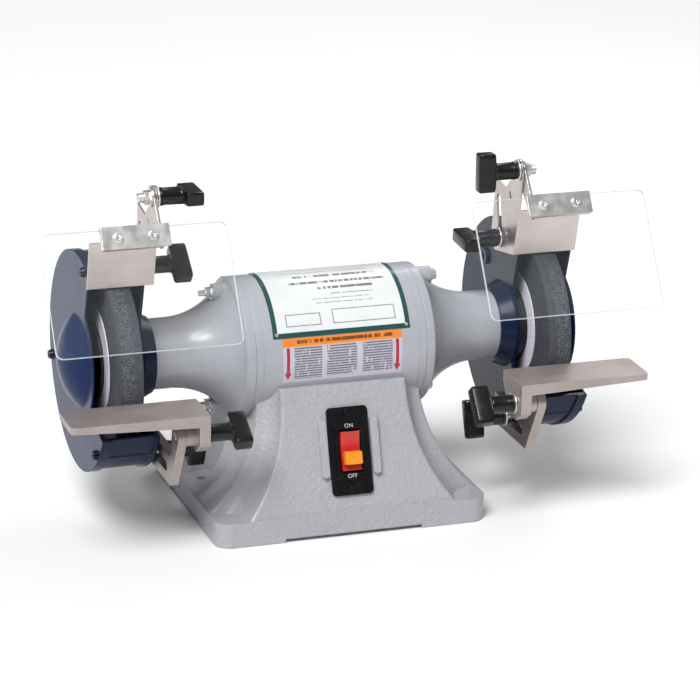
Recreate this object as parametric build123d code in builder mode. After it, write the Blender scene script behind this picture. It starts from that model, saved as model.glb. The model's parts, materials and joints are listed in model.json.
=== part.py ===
"""Six-inch bench grinder with twin guarded wheels, tool rests and tilting eye shields.

Frame: X runs along the spindle to the operator's right, Y runs away from the operator,
Z runs up.  The origin lies on the bench, at the centre of the base, under the spindle.
All sizes are in millimetres.  The right-hand end is modelled and the left-hand end is its
mirror image in the plane X = 0.
"""

import os
from math import cos, radians, sin, sqrt

from build123d import *

os.makedirs("parts", exist_ok=True)

# ---------------------------------------------------------------- driving dimensions
SPINDLE_Z = 133.8
MOTOR_R = 56.8
SHELL_HALF = 65.0
SHELL_WALL = 3.4
RIM_OUT = 79.0
NECK_R = 28.4
NECK_START = 128.0
NECK_END = 145.0

BASE_X = 226.0
BASE_Y = 188.0
FOOT_H = 20.0
PAD_GAP = 3.0
WALL_TOP_Z = 115.0
FACE_TOP_Y = 58.6
FACE_LEAN = 0.345
BENCH_BOLT_X = 98.0
BENCH_BOLT_R = 4.75

WHEEL_R = 76.2
WHEEL_T = 19.05
WHEEL_X = 177.5
ARBOR_R = 6.35

GUARD_IN = 155.6
GUARD_OUT = 200.3
GUARD_WALL = 3.0
GUARD_R = 88.0
GUARD_BAND_R = 86.4
COVER_T = 1.5
DOME_R = 38.0
DOME_H = 15.0

SHAFT_R = 8.5
BEARING_IN = 124.0
BEARING_W = 12.0
BEARING_R = 20.0

REST_IN = 127.6
REST_OUT = 236.5
REST_FRONT = -119.5
REST_BACK = -79.0
REST_TOP = 122.5
REST_PIVOT = (-104.0, 102.7)

BRACKET_IN = 144.5
BRACKET_OUT = 151.5
BRACKET_STUD = (-45.0, 69.5)

ARRESTOR_IN = 149.5
ARRESTOR_OUT = 203.0
SHEET = 1.5
ARRESTOR_STUD = (-8.2, 210.0)
SHIELD_PIVOT = (-40.0, 275.0)
SHIELD_TOP = (-66.0, 260.0)
SHIELD_LEAN = (0.5355, 0.8445)
SHIELD_IN = 100.4
SHIELD_OUT = 247.0
SHIELD_H = 97.1
SHIELD_T = 3.0

STUD_R = 3.9
RUNNING_FIT = 0.1
KNOB_HUB_R = 7.2
KNOB_HUB_L = 19.0
KNOB_WING_T = 14.0
KNOB_WING_L = 32.0
KNOB_WING_W = 11.0
WASHER_T = 1.5
WASHER_R = 8.5
WASHER_GAP = 0.3

SPINDLE = Axis((0, 0, SPINDLE_Z), (1, 0, 0))
FACE_MID_Z = 65.2
FACE_PLANE = Plane(
    origin=(0, -(FACE_TOP_Y + (WALL_TOP_Z - FACE_MID_Z) * FACE_LEAN), FACE_MID_Z),
    x_dir=(1, 0, 0),
    z_dir=(0, -1, FACE_LEAN),
)
SHIELD_PLANE = Plane(
    origin=((SHIELD_IN + SHIELD_OUT) / 2, SHIELD_TOP[0], SHIELD_TOP[1]),
    x_dir=(1, 0, 0),
    z_dir=(0, -SHIELD_LEAN[1], SHIELD_LEAN[0]),
)


# ---------------------------------------------------------------- helpers
def save(part, name):
    """Label a finished piece and write its STEP file."""
    part.label = name
    export_step(part, f"parts/{name}.step")


def save_pair(part, name):
    """Write a right-hand piece and its left-hand mirror image."""
    save(part, f"{name}_right")
    save(mirror(part, about=Plane.YZ), f"{name}_left")


def across(x):
    """Sketch plane square to the spindle at a distance x, with Y and Z as its axes."""
    return Plane.YZ.offset(x)


def on_spindle(x):
    """Plane square to the spindle whose own origin is on the spindle axis."""
    return Plane(origin=(x, 0, SPINDLE_Z), x_dir=(0, 1, 0), z_dir=(1, 0, 0))


def on_shield(along, proud):
    """Y and Z of a point a distance up the shield and proud of its front face."""
    up_y, up_z = SHIELD_LEAN
    return (SHIELD_TOP[0] + along * up_y - proud * up_z, SHIELD_TOP[1] + along * up_z + proud * up_y)


def polar(radius, angle):
    """Point at a radius and angle, in degrees, about a sketch origin."""
    return (radius * cos(radians(angle)), radius * sin(radians(angle)))


# ---------------------------------------------------------------- base
FACE_TOP_HALF = 52.6
FACE_FOOT_HALF = 86.0
SIDE_TOP_HALF = 68.0
SIDE_FOOT_HALF = 111.0
FLARE = 2.35
PEDESTAL_LEVELS = 7
POCKET_R = 17.0
POCKET_SEAT = 24.0
CAVITY_TOP = 64.0
WIRE_HOLE_R = 8.0
GLAND_X = 42.0
PLATE_Z = 2.6
PLATE_T = 1.2
PLATE_SCREW_R = 2.0
LUG_SIZE = 18.0
LUG_T = 10.0
SEAT_R = 13.0
RIB = (6.5, 46.0, 3.6)
RIB_X = 21.5
CAVITY_FOOT = (152.0, 170.0)
CAVITY_HEAD = (124.0, 126.0)
CAVITY_CORNER = 8.0
GLAND_HOLE_R = 8.0
GLAND_BODY_R = 7.8
GLAND_FLANGE_R = 11.0
GLAND_DEPTH = 14.0
CORD_R = 4.2
PLATE_SCREWS = [(67, 76), (67, -76), (-67, 76), (-67, -76)]
SWITCH_W = 21.0
SWITCH_H = 39.0
ROCKER_W = 15.6
ROCKER_H = 31.0
SWITCH_DEPTH = 26.0
PANEL_T = 2.2
BEZEL_T = 1.6
WINDOW = (ROCKER_W + 1.6, ROCKER_H + 2.2)
KEY_Y = -5.5
KEY_STEM = (12.0, 9.0)
KEY_CAP = (14.6, 11.0)
KEY_FOOT = 0.6
KEY_CAP_FOOT = 6.8
KEY_CAP_T = 4.6
HINGE_PIN_R = 1.2
PIN_DEPTH = 1.5
SCREW_HEAD_R = 3.4
SCREW_HEAD_T = 1.7
PANEL_SCREW_R = 1.7
PANEL_SCREWS = [(0, 30.5), (0, -30.5)]


def flared(z, top, foot):
    """Half width at height z of a pedestal that spreads towards its foot."""
    drop = (WALL_TOP_Z - z) / (WALL_TOP_Z - FOOT_H)
    return top + (foot - top) * drop**FLARE


def face_y(z):
    """Distance of the leaning front face from the centre plane at height z."""
    return FACE_TOP_Y + (WALL_TOP_Z - z) * FACE_LEAN


def pedestal_outline(z):
    """Flat front and back, straight sides, and a hollow scoop at each corner."""
    front = flared(z, FACE_TOP_HALF, FACE_FOOT_HALF)
    side = flared(z, SIDE_TOP_HALF, SIDE_FOOT_HALF)
    depth = face_y(z)
    scoop = side - front
    waist = depth - scoop
    bite = scoop * sqrt(0.5)
    with BuildSketch(Plane.XY.offset(z)) as outline:
        with BuildLine():
            for sx, sy in ((1, -1), (1, 1), (-1, 1), (-1, -1)):
                near = (sx * front, sy * depth)
                middle = (sx * (side - bite), sy * (depth - bite))
                far = (sx * side, sy * waist)
                ThreePointArc(near, middle, far)
            Line((-front, -depth), (front, -depth))
            Line((-front, depth), (front, depth))
            Line((side, -waist), (side, waist))
            Line((-side, -waist), (-side, waist))
        make_face()
        fillet(outline.vertices(), radius=2.5)
    return outline.sketch


GLAND_PLANE = Plane(origin=(GLAND_X, face_y(45), 45), x_dir=(1, 0, 0), z_dir=(0, 1, FACE_LEAN))
PEDESTAL_STEP = (WALL_TOP_Z - FOOT_H) / (PEDESTAL_LEVELS - 1)
pedestal_outlines = [pedestal_outline(FOOT_H + PEDESTAL_STEP * level) for level in range(PEDESTAL_LEVELS)]

with BuildPart() as saddle_hollow:
    with BuildSketch(Plane.XY.offset(CAVITY_TOP)):
        with Locations((33, 0), (-33, 0)):
            RectangleRounded(42, 96, 8)
    extrude(amount=34)
    with Locations((0, 0, SPINDLE_Z)):
        Cylinder(MOTOR_R + 6, BASE_X, rotation=(0, 90, 0), mode=Mode.SUBTRACT)

with BuildPart() as base_casting:
    loft(sections=pedestal_outlines)
    with BuildSketch(Plane.XY):
        RectangleRounded(BASE_X, BASE_Y, 13)
    extrude(amount=FOOT_H)
    fillet(base_casting.edges().group_by(Axis.Z)[-1], 0.8)
    # saddle for the motor
    with Locations((0, 0, SPINDLE_Z)):
        Cylinder(MOTOR_R, BASE_X, rotation=(0, 90, 0), mode=Mode.SUBTRACT)
    # hollow underside
    with BuildSketch(Plane.XY):
        RectangleRounded(*CAVITY_FOOT, CAVITY_CORNER)
    with BuildSketch(Plane.XY.offset(CAVITY_TOP)):
        RectangleRounded(*CAVITY_HEAD, CAVITY_CORNER)
    loft(mode=Mode.SUBTRACT)
    add(saddle_hollow.part, mode=Mode.SUBTRACT)
    with Locations((0, 0, CAVITY_TOP)):
        Cylinder(WIRE_HOLE_R, 60, mode=Mode.SUBTRACT)
    # round pockets that seat the two bench bolts
    with BuildSketch(Plane.XY.offset(POCKET_SEAT)):
        with Locations((BENCH_BOLT_X, 0), (-BENCH_BOLT_X, 0)):
            Circle(POCKET_R)
    extrude(amount=WALL_TOP_Z, mode=Mode.SUBTRACT)
    with BuildSketch(Plane.XY):
        with Locations((BENCH_BOLT_X, 0), (-BENCH_BOLT_X, 0)):
            Circle(BENCH_BOLT_R)
    extrude(amount=POCKET_SEAT, mode=Mode.SUBTRACT)
    # corner lugs that take the cover plate screws
    with BuildSketch(Plane.XY.offset(PLATE_Z)):
        with Locations(*PLATE_SCREWS):
            Rectangle(LUG_SIZE, LUG_SIZE)
    extrude(amount=LUG_T)
    with BuildSketch(Plane.XY.offset(PLATE_Z)):
        with Locations(*PLATE_SCREWS):
            Circle(PLATE_SCREW_R)
    extrude(amount=LUG_T - 2, mode=Mode.SUBTRACT)
    # four standing pads, and a seat round each bench bolt
    with BuildSketch(Plane.XY):
        Rectangle(114, BASE_Y)
        Rectangle(BASE_X, 84)
        with Locations((BENCH_BOLT_X, 0), (-BENCH_BOLT_X, 0)):
            Circle(SEAT_R, mode=Mode.SUBTRACT)
    extrude(amount=PAD_GAP, mode=Mode.SUBTRACT)
    # switch opening with a raised rib on each side
    with BuildSketch(FACE_PLANE):
        with Locations((RIB_X, 3), (-RIB_X, 3)):
            RectangleRounded(RIB[0], RIB[1], 3)
    extrude(amount=RIB[2])
    with BuildSketch(FACE_PLANE):
        Rectangle(SWITCH_W + 1.4, SWITCH_H + 1.4)
    extrude(amount=-40, mode=Mode.SUBTRACT)
    with BuildSketch(FACE_PLANE):
        with Locations(*PANEL_SCREWS):
            Circle(PANEL_SCREW_R + RUNNING_FIT)
    extrude(amount=-9, mode=Mode.SUBTRACT)
    # hole for the cable gland in the back wall
    with BuildSketch(GLAND_PLANE):
        Circle(GLAND_HOLE_R)
    extrude(amount=-40, mode=Mode.SUBTRACT)
save(base_casting.part, "base_casting")


with BuildPart() as base_cover_plate:
    with BuildSketch(Plane.XY.offset(PLATE_Z - PLATE_T)):
        RectangleRounded(149, 167, 7)
        with Locations((0, 30), (0, 0), (0, -30)):
            SlotOverall(60, 5, mode=Mode.SUBTRACT)
        with Locations(*PLATE_SCREWS):
            Circle(PLATE_SCREW_R + 0.3, mode=Mode.SUBTRACT)
    extrude(amount=PLATE_T)
save(base_cover_plate.part, "base_cover_plate")

with BuildPart() as base_cover_screws:
    with BuildSketch(Plane.XY.offset(PLATE_Z - PLATE_T)):
        with Locations(*PLATE_SCREWS):
            Circle(PLATE_SCREW_R - 0.05)
    extrude(amount=9)
    with BuildSketch(Plane.XY.offset(PLATE_Z - PLATE_T - 1.1)):
        with Locations(*PLATE_SCREWS):
            Circle(3.6)
    extrude(amount=1.1)
save(base_cover_screws.part, "base_cover_screws")

with BuildPart() as cord_gland:
    with BuildSketch(GLAND_PLANE.offset(-GLAND_DEPTH)):
        Circle(GLAND_BODY_R)
    extrude(amount=GLAND_DEPTH)
    with BuildSketch(GLAND_PLANE):
        Circle(GLAND_FLANGE_R)
    extrude(amount=5)
    fillet(cord_gland.edges().filter_by(GeomType.CIRCLE).sort_by(Axis.Y)[-1], 2)
    with BuildSketch(GLAND_PLANE.offset(-GLAND_DEPTH - 1)):
        Circle(CORD_R)
    extrude(amount=GLAND_DEPTH + 8, mode=Mode.SUBTRACT)
save(cord_gland.part, "cord_gland")


# ---------------------------------------------------------------- switch
PIN_PLANE = Plane(origin=FACE_PLANE.offset(-PIN_DEPTH).origin, x_dir=(0, 1, 0), z_dir=(1, 0, 0))

with BuildPart() as switch_plate:
    with BuildSketch(FACE_PLANE):
        RectangleRounded(34, 70, 3.5)
        Rectangle(*WINDOW, mode=Mode.SUBTRACT)
        with Locations(*PANEL_SCREWS):
            Circle(PANEL_SCREW_R + RUNNING_FIT, mode=Mode.SUBTRACT)
    extrude(amount=PANEL_T)
    with BuildSketch(FACE_PLANE.offset(PANEL_T)):
        RectangleRounded(25, 46, 2.5)
        Rectangle(*WINDOW, mode=Mode.SUBTRACT)
    extrude(amount=BEZEL_T, taper=12)
save(switch_plate.part, "switch_plate")

with BuildPart() as switch_body:
    with BuildSketch(FACE_PLANE):
        Rectangle(SWITCH_W, SWITCH_H)
    extrude(amount=-SWITCH_DEPTH)
    with BuildSketch(FACE_PLANE):
        Rectangle(ROCKER_W + 0.8, ROCKER_H + 2.0)
    extrude(amount=-11, mode=Mode.SUBTRACT)
    with BuildSketch(PIN_PLANE):
        Circle(HINGE_PIN_R + RUNNING_FIT)
    extrude(amount=SWITCH_W / 2 - 0.2, both=True, mode=Mode.SUBTRACT)
    with BuildSketch(FACE_PLANE.offset(-SWITCH_DEPTH)):
        with GridLocations(12, 12, 2, 2):
            Rectangle(1, 6)
    extrude(amount=-8)
save(switch_body.part, "switch_body")

with BuildPart() as switch_rocker:
    with BuildSketch(Plane(origin=FACE_PLANE.origin, x_dir=FACE_PLANE.y_dir, z_dir=(1, 0, 0))):
        with BuildLine():
            half = ROCKER_H / 2
            Polyline((-half, 5.4), (-half, -3), (0, -6.5), (half, -3), (half, 6.6))
            ThreePointArc((half, 6.6), (0, 3.4), (-half, 5.4))
        make_face()
    extrude(amount=ROCKER_W / 2, both=True)
    with BuildSketch(PIN_PLANE):
        Circle(HINGE_PIN_R)
    extrude(amount=SWITCH_W / 2 - 0.5, both=True)
    with BuildSketch(FACE_PLANE.offset(KEY_FOOT - 0.3)):
        with Locations((0, KEY_Y)):
            Rectangle(KEY_STEM[0] + 0.4, KEY_STEM[1] + 0.4)
    extrude(amount=KEY_CAP_FOOT, mode=Mode.SUBTRACT)
save(switch_rocker.part, "switch_rocker")

with BuildPart() as safety_key:
    with BuildSketch(FACE_PLANE.offset(KEY_FOOT)):
        with Locations((0, KEY_Y)):
            Rectangle(*KEY_STEM)
    extrude(amount=KEY_CAP_FOOT - KEY_FOOT)
    with BuildSketch(FACE_PLANE.offset(KEY_CAP_FOOT)):
        with Locations((0, KEY_Y)):
            RectangleRounded(*KEY_CAP, 1.5)
    extrude(amount=KEY_CAP_T, taper=6)
save(safety_key.part, "safety_key")

with BuildPart() as panel_screws:
    with BuildSketch(FACE_PLANE.offset(-8)):
        with Locations(*PANEL_SCREWS):
            Circle(PANEL_SCREW_R)
    extrude(amount=8 + PANEL_T)
    with BuildSketch(FACE_PLANE.offset(PANEL_T)):
        with Locations(*PANEL_SCREWS):
            Circle(SCREW_HEAD_R)
    extrude(amount=SCREW_HEAD_T, taper=25)
    with BuildSketch(FACE_PLANE.offset(PANEL_T + SCREW_HEAD_T)):
        with Locations(*PANEL_SCREWS):
            Rectangle(SCREW_HEAD_R, 0.8)
            Rectangle(0.8, SCREW_HEAD_R)
    extrude(amount=-1.1, mode=Mode.SUBTRACT)
save(panel_screws.part, "panel_screws")


# ---------------------------------------------------------------- motor
BOLT_R = 2.4
BOLT_CIRCLE = 47.0
LUG_R = 7.0
LUG_END = 92.0
NAMEPLATE_HALF = 57.0
NAMEPLATE_T = 0.5
LABEL_T = 0.2
NAMEPLATE_LOW = 22.4
NAMEPLATE_HIGH = 106.0
LABEL_HALF = 49.5
LABEL_LOW = -14.5
LABEL_HIGH = 21.9
STACK_HALF = 32.0
STATOR_BORE = 30.0
ROTOR_R = 29.5
CAPACITOR = (30.0, 28.0)
CAPACITOR_R = 17.0
CAPACITOR_L = 70.0
NUT_R = 4.6
THREAD_L = 11.0
WINDING_OUT = 43.0
WINDING_IN = 32.0
WINDING_T = 16.0
RIVET_R = 1.5
RIVET_INSET = 3.0

with BuildPart() as motor_shell:
    with BuildSketch(on_spindle(-SHELL_HALF)):
        Circle(MOTOR_R)
        Circle(MOTOR_R - SHELL_WALL, mode=Mode.SUBTRACT)
    extrude(amount=2 * SHELL_HALF)
    with Locations((0, 0, SPINDLE_Z - MOTOR_R)):
        Cylinder(WIRE_HOLE_R, 20, mode=Mode.SUBTRACT)
save(motor_shell.part, "motor_shell")

with BuildPart() as end_bell:
    with BuildSketch(Plane.XZ):
        with BuildLine():
            step = SPINDLE_Z
            Polyline(
                (NECK_END, step + NECK_R),
                (NECK_END, step + 14),
                (BEARING_IN + BEARING_W, step + 14),
                (BEARING_IN + BEARING_W, step + BEARING_R),
                (118, step + BEARING_R),
                (112, step + 24),
                (82, step + 45),
                (76, step + 50),
                (61, step + 50),
                (61, step + MOTOR_R - SHELL_WALL - 0.1),
                (SHELL_HALF, step + MOTOR_R - SHELL_WALL - 0.1),
                (SHELL_HALF, step + MOTOR_R),
                (70.6, step + MOTOR_R),
                (71.1, step + MOTOR_R - 0.6),
                (71.6, step + MOTOR_R),
                (RIM_OUT - 1.5, step + MOTOR_R),
                (RIM_OUT, step + MOTOR_R - 1.5),
                (RIM_OUT + 1.5, step + 52.5),
            )
            ThreePointArc((RIM_OUT + 1.5, step + 52.5), (101, step + 35.2), (NECK_START, step + NECK_R))
            Line((NECK_START, step + NECK_R), (NECK_END, step + NECK_R))
        make_face()
    revolve(axis=SPINDLE)
    with BuildSketch(on_spindle(SHELL_HALF + 1)):
        with Locations((0, BOLT_CIRCLE), (0, -BOLT_CIRCLE)):
            Circle(LUG_R)
    extrude(amount=LUG_END - SHELL_HALF - 1)
    with BuildSketch(on_spindle(SHELL_HALF - 8)):
        with Locations((0, BOLT_CIRCLE), (0, -BOLT_CIRCLE)):
            Circle(BOLT_R + 0.2)
    extrude(amount=LUG_END, mode=Mode.SUBTRACT)
    with BuildSketch(on_spindle(NECK_END)):
        with PolarLocations(21, 3, start_angle=90):
            Circle(2.1)
    extrude(amount=-7, mode=Mode.SUBTRACT)
save_pair(end_bell.part, "end_bell")

with BuildPart() as through_bolts:
    with BuildSketch(on_spindle(-LUG_END - THREAD_L)):
        with Locations((0, BOLT_CIRCLE), (0, -BOLT_CIRCLE)):
            Circle(BOLT_R)
    extrude(amount=2 * LUG_END + THREAD_L)
    with BuildSketch(on_spindle(LUG_END)):
        with Locations((0, BOLT_CIRCLE), (0, -BOLT_CIRCLE)):
            Circle(5)
    extrude(amount=1)
    with BuildSketch(on_spindle(LUG_END + 1)):
        with Locations((0, BOLT_CIRCLE), (0, -BOLT_CIRCLE)):
            RegularPolygon(NUT_R, 6)
    extrude(amount=3.6)
save(through_bolts.part, "through_bolts")

with BuildPart() as through_bolt_nuts:
    with BuildSketch(on_spindle(-LUG_END)):
        with Locations((0, BOLT_CIRCLE), (0, -BOLT_CIRCLE)):
            Circle(5.6)
            Circle(BOLT_R + 0.05, mode=Mode.SUBTRACT)
    extrude(amount=-1)
    with BuildSketch(on_spindle(-LUG_END - 1)):
        with Locations((0, BOLT_CIRCLE), (0, -BOLT_CIRCLE)):
            RegularPolygon(NUT_R, 6)
            Circle(BOLT_R + 0.05, mode=Mode.SUBTRACT)
    extrude(amount=-4.2)
save(through_bolt_nuts.part, "through_bolt_nuts")

with BuildPart() as stator_core:
    with BuildSketch(on_spindle(-STACK_HALF)):
        Circle(MOTOR_R - SHELL_WALL - 0.1)
        Circle(STATOR_BORE, mode=Mode.SUBTRACT)
        with PolarLocations(37, 24):
            Rectangle(11, 4.2, mode=Mode.SUBTRACT)
        with Locations((0, BOLT_CIRCLE), (0, -BOLT_CIRCLE)):
            Circle(3, mode=Mode.SUBTRACT)
    extrude(amount=2 * STACK_HALF)
save(stator_core.part, "stator_core")

with BuildPart() as stator_windings:
    for end in (-STACK_HALF - WINDING_T, STACK_HALF):
        with BuildSketch(on_spindle(end)):
            Circle(WINDING_OUT)
            Circle(WINDING_IN, mode=Mode.SUBTRACT)
        extrude(amount=WINDING_T)
    fillet(stator_windings.edges().filter_by(GeomType.CIRCLE), 3)
save(stator_windings.part, "stator_windings")

with BuildPart() as run_capacitor:
    with BuildSketch(Plane.YZ.offset(-CAPACITOR_L / 2)):
        with Locations(CAPACITOR):
            Circle(CAPACITOR_R)
    extrude(amount=CAPACITOR_L)
    fillet(run_capacitor.edges().filter_by(GeomType.CIRCLE), 2)
    with BuildSketch(Plane.YZ.offset(CAPACITOR_L / 2)):
        with Locations((CAPACITOR[0] - 6, CAPACITOR[1]), (CAPACITOR[0] + 6, CAPACITOR[1])):
            Rectangle(1, 6)
    extrude(amount=8)
save(run_capacitor.part, "run_capacitor")

with BuildPart() as capacitor_clamp:
    with BuildSketch(Plane.YZ.offset(-8)):
        with Locations(CAPACITOR):
            Circle(CAPACITOR_R + 1.2)
            Circle(CAPACITOR_R, mode=Mode.SUBTRACT)
        with Locations((CAPACITOR[0], (CAPACITOR[1] + CAPACITOR_R + 1 + CAVITY_TOP) / 2)):
            Rectangle(6, CAVITY_TOP - CAPACITOR[1] - CAPACITOR_R - 1)
    extrude(amount=16)
save(capacitor_clamp.part, "capacitor_clamp")


def plate_on_shell(half_width, low, high, thickness):
    """Thin sheet wrapped on the shell between two angles up from the front of the motor."""
    inner = MOTOR_R
    outer = MOTOR_R + thickness
    middle = (low + high) / 2
    with BuildPart() as wrapped:
        with BuildSketch(on_spindle(-half_width)):
            with BuildLine():
                ThreePointArc(*(polar(inner, 180 - angle) for angle in (low, middle, high)))
                ThreePointArc(*(polar(outer, 180 - angle) for angle in (low, middle, high)))
                Line(polar(inner, 180 - low), polar(outer, 180 - low))
                Line(polar(inner, 180 - high), polar(outer, 180 - high))
            make_face()
        extrude(amount=2 * half_width)
    return wrapped.part


save(plate_on_shell(NAMEPLATE_HALF, NAMEPLATE_LOW, NAMEPLATE_HIGH, NAMEPLATE_T), "nameplate")
save(plate_on_shell(LABEL_HALF, LABEL_LOW, LABEL_HIGH, LABEL_T), "information_label")

with BuildPart() as nameplate_rivets:
    for angle in (NAMEPLATE_LOW + 3, NAMEPLATE_HIGH - 3):
        y, z = polar(MOTOR_R + NAMEPLATE_T, 180 - angle)
        outward = Plane(origin=(0, y, SPINDLE_Z + z), x_dir=(1, 0, 0), z_dir=(0, y, z))
        with BuildSketch(outward):
            with Locations((NAMEPLATE_HALF - RIVET_INSET, 0), (RIVET_INSET - NAMEPLATE_HALF, 0)):
                Circle(RIVET_R)
        extrude(amount=0.9, taper=20)
save(nameplate_rivets.part, "nameplate_rivets")


# ---------------------------------------------------------------- rotor
SHOULDER_R = 7.9
SHOULDER_END = 160.0
SHAFT_END = 208.0
BALL_R = 3.3
BALL_CIRCLE = 14.25
BALLS = 8
INNER_RACE_R = 10.9
OUTER_RACE_R = 17.65
END_RING = (27.0, 15.0, 8.0)
FLANGE_T = 2.6
FLANGE_R = 31.0
BLOTTER_R = 45.0
BLOTTER_T = 0.775
WHEEL_IN = WHEEL_X - WHEEL_T / 2
WHEEL_OUT = WHEEL_X + WHEEL_T / 2
NUT_START = 194.0
NUT_T = 11.0
BORE_R = ARBOR_R + 0.03


def ring(x, outer, inner, length):
    """Plain ring centred on the spindle, starting at x and running outboard."""
    with BuildPart() as turned:
        with BuildSketch(on_spindle(x)):
            Circle(outer)
            Circle(inner, mode=Mode.SUBTRACT)
        extrude(amount=length)
    return turned.part


with BuildPart() as shaft:
    for half_length, radius in ((140, SHAFT_R), (SHOULDER_END, SHOULDER_R), (SHAFT_END, ARBOR_R)):
        with BuildSketch(on_spindle(-half_length)):
            Circle(radius)
        extrude(amount=2 * half_length)
    chamfer(shaft.faces().sort_by(Axis.X)[0].edges(), 1)
    chamfer(shaft.faces().sort_by(Axis.X)[-1].edges(), 1)
save(shaft.part, "shaft")

with BuildPart() as rotor_core:
    add(ring(-STACK_HALF, ROTOR_R, SHAFT_R, 2 * STACK_HALF))
    for start in (-STACK_HALF - END_RING[2], STACK_HALF):
        add(ring(start, *END_RING))
save(rotor_core.part, "rotor_core")

with BuildPart() as bearing_inner_races:
    for start in (BEARING_IN, -BEARING_IN - BEARING_W):
        add(ring(start, INNER_RACE_R, SHAFT_R, BEARING_W))
save(bearing_inner_races.part, "bearing_inner_races")

with BuildPart() as bearing_outer_races:
    for start in (BEARING_IN, -BEARING_IN - BEARING_W):
        add(ring(start, BEARING_R, OUTER_RACE_R, BEARING_W))
save(bearing_outer_races.part, "bearing_outer_races")

with BuildPart() as bearing_balls:
    for centre in (BEARING_IN + BEARING_W / 2, -BEARING_IN - BEARING_W / 2):
        with Locations(on_spindle(centre)):
            with PolarLocations(BALL_CIRCLE, BALLS):
                Sphere(BALL_R)
save(bearing_balls.part, "bearing_balls")

with BuildPart() as wheel:
    add(ring(WHEEL_IN, WHEEL_R, BORE_R, WHEEL_T))
    chamfer(wheel.edges().filter_by(GeomType.CIRCLE).sort_by(SortBy.RADIUS)[-2:], 0.6)
save_pair(wheel.part, "wheel")

with BuildPart() as flange_pair:
    with BuildSketch(on_spindle(SHOULDER_END)):
        Circle(FLANGE_R)
        Circle(BORE_R, mode=Mode.SUBTRACT)
    extrude(amount=WHEEL_IN - BLOTTER_T - SHOULDER_END)
    with BuildSketch(on_spindle(WHEEL_IN - BLOTTER_T)):
        Circle(FLANGE_R - 7)
        Circle(12, mode=Mode.SUBTRACT)
    extrude(amount=-1.5, mode=Mode.SUBTRACT)
    with BuildSketch(on_spindle(WHEEL_OUT + BLOTTER_T)):
        Circle(FLANGE_R)
        Circle(BORE_R, mode=Mode.SUBTRACT)
    extrude(amount=FLANGE_T)
    with BuildSketch(on_spindle(WHEEL_OUT + BLOTTER_T + FLANGE_T)):
        Circle(FLANGE_R)
        Circle(BORE_R, mode=Mode.SUBTRACT)
    extrude(amount=NUT_START - WHEEL_OUT - BLOTTER_T - FLANGE_T, taper=60)
    with BuildSketch(on_spindle(NUT_START)):
        Circle(14)
        Circle(BORE_R, mode=Mode.SUBTRACT)
    extrude(amount=-4)
with BuildPart() as wheel_flanges:
    add(flange_pair.part)
    mirror(about=Plane.YZ)
save(wheel_flanges.part, "wheel_flanges")

with BuildPart() as wheel_blotters:
    add(ring(WHEEL_IN - BLOTTER_T, BLOTTER_R, BORE_R, BLOTTER_T))
    add(ring(WHEEL_OUT, BLOTTER_R, BORE_R, BLOTTER_T))
    mirror(about=Plane.YZ)
save(wheel_blotters.part, "wheel_blotters")

with BuildPart() as wheel_nuts:
    with BuildSketch(on_spindle(NUT_START)):
        RegularPolygon(9.5, 6, major_radius=False)
        Circle(BORE_R, mode=Mode.SUBTRACT)
    extrude(amount=NUT_T)
    mirror(about=Plane.YZ)
save(wheel_nuts.part, "wheel_nuts")


# ---------------------------------------------------------------- wheel guards
MOUTH = [(-22, 36), (-40, 95), (-120, 95), (-120, -49.5), (-28, -29), (-22, 0)]
INNER_LOBE_R = 36.5
COVER_LOBE_R = 49.0
BAND_T = 2.9
HUB_R = 31.0
HUB_FLARE_R = 36.0
HUB_BORE_R = 15.0
MOUNT_CIRCLE = 21.0
MOUNT_R = 2.0
MOUNT_HEAD_R = 4.4
MOUNT_HEAD_T = 3.0
MOUNT_HEAD_TAPER = 38
BOSS_R = 4.5
CAST_BOSS = (37.0, 180.0)
CAST_BOSS_START = 153.4
COVER_HEAD_R = 4.2
COVER_HEAD_T = 3.2
COVER_SCREW_L = 12.0
COVER_SCREW_R = 1.8
COVER_SCREW_CIRCLE = 83.0
COVER_SCREW_ANGLES = (106, 224, 345)
WALL_FACE = GUARD_IN + GUARD_WALL
COVER_FACE = GUARD_OUT + COVER_T


def mouth(x, lobe):
    """Open front of a guard, less the round lobe of sheet left around the spindle."""
    with BuildSketch(on_spindle(x)) as opening:
        with BuildLine():
            Polyline(*MOUTH, close=True)
        make_face()
        fillet(opening.vertices().sort_by(Axis.Y)[-3:], 5)
        Circle(lobe, mode=Mode.SUBTRACT)
    return opening.sketch


cover_screw_points = [polar(COVER_SCREW_CIRCLE, angle) for angle in COVER_SCREW_ANGLES]

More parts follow.
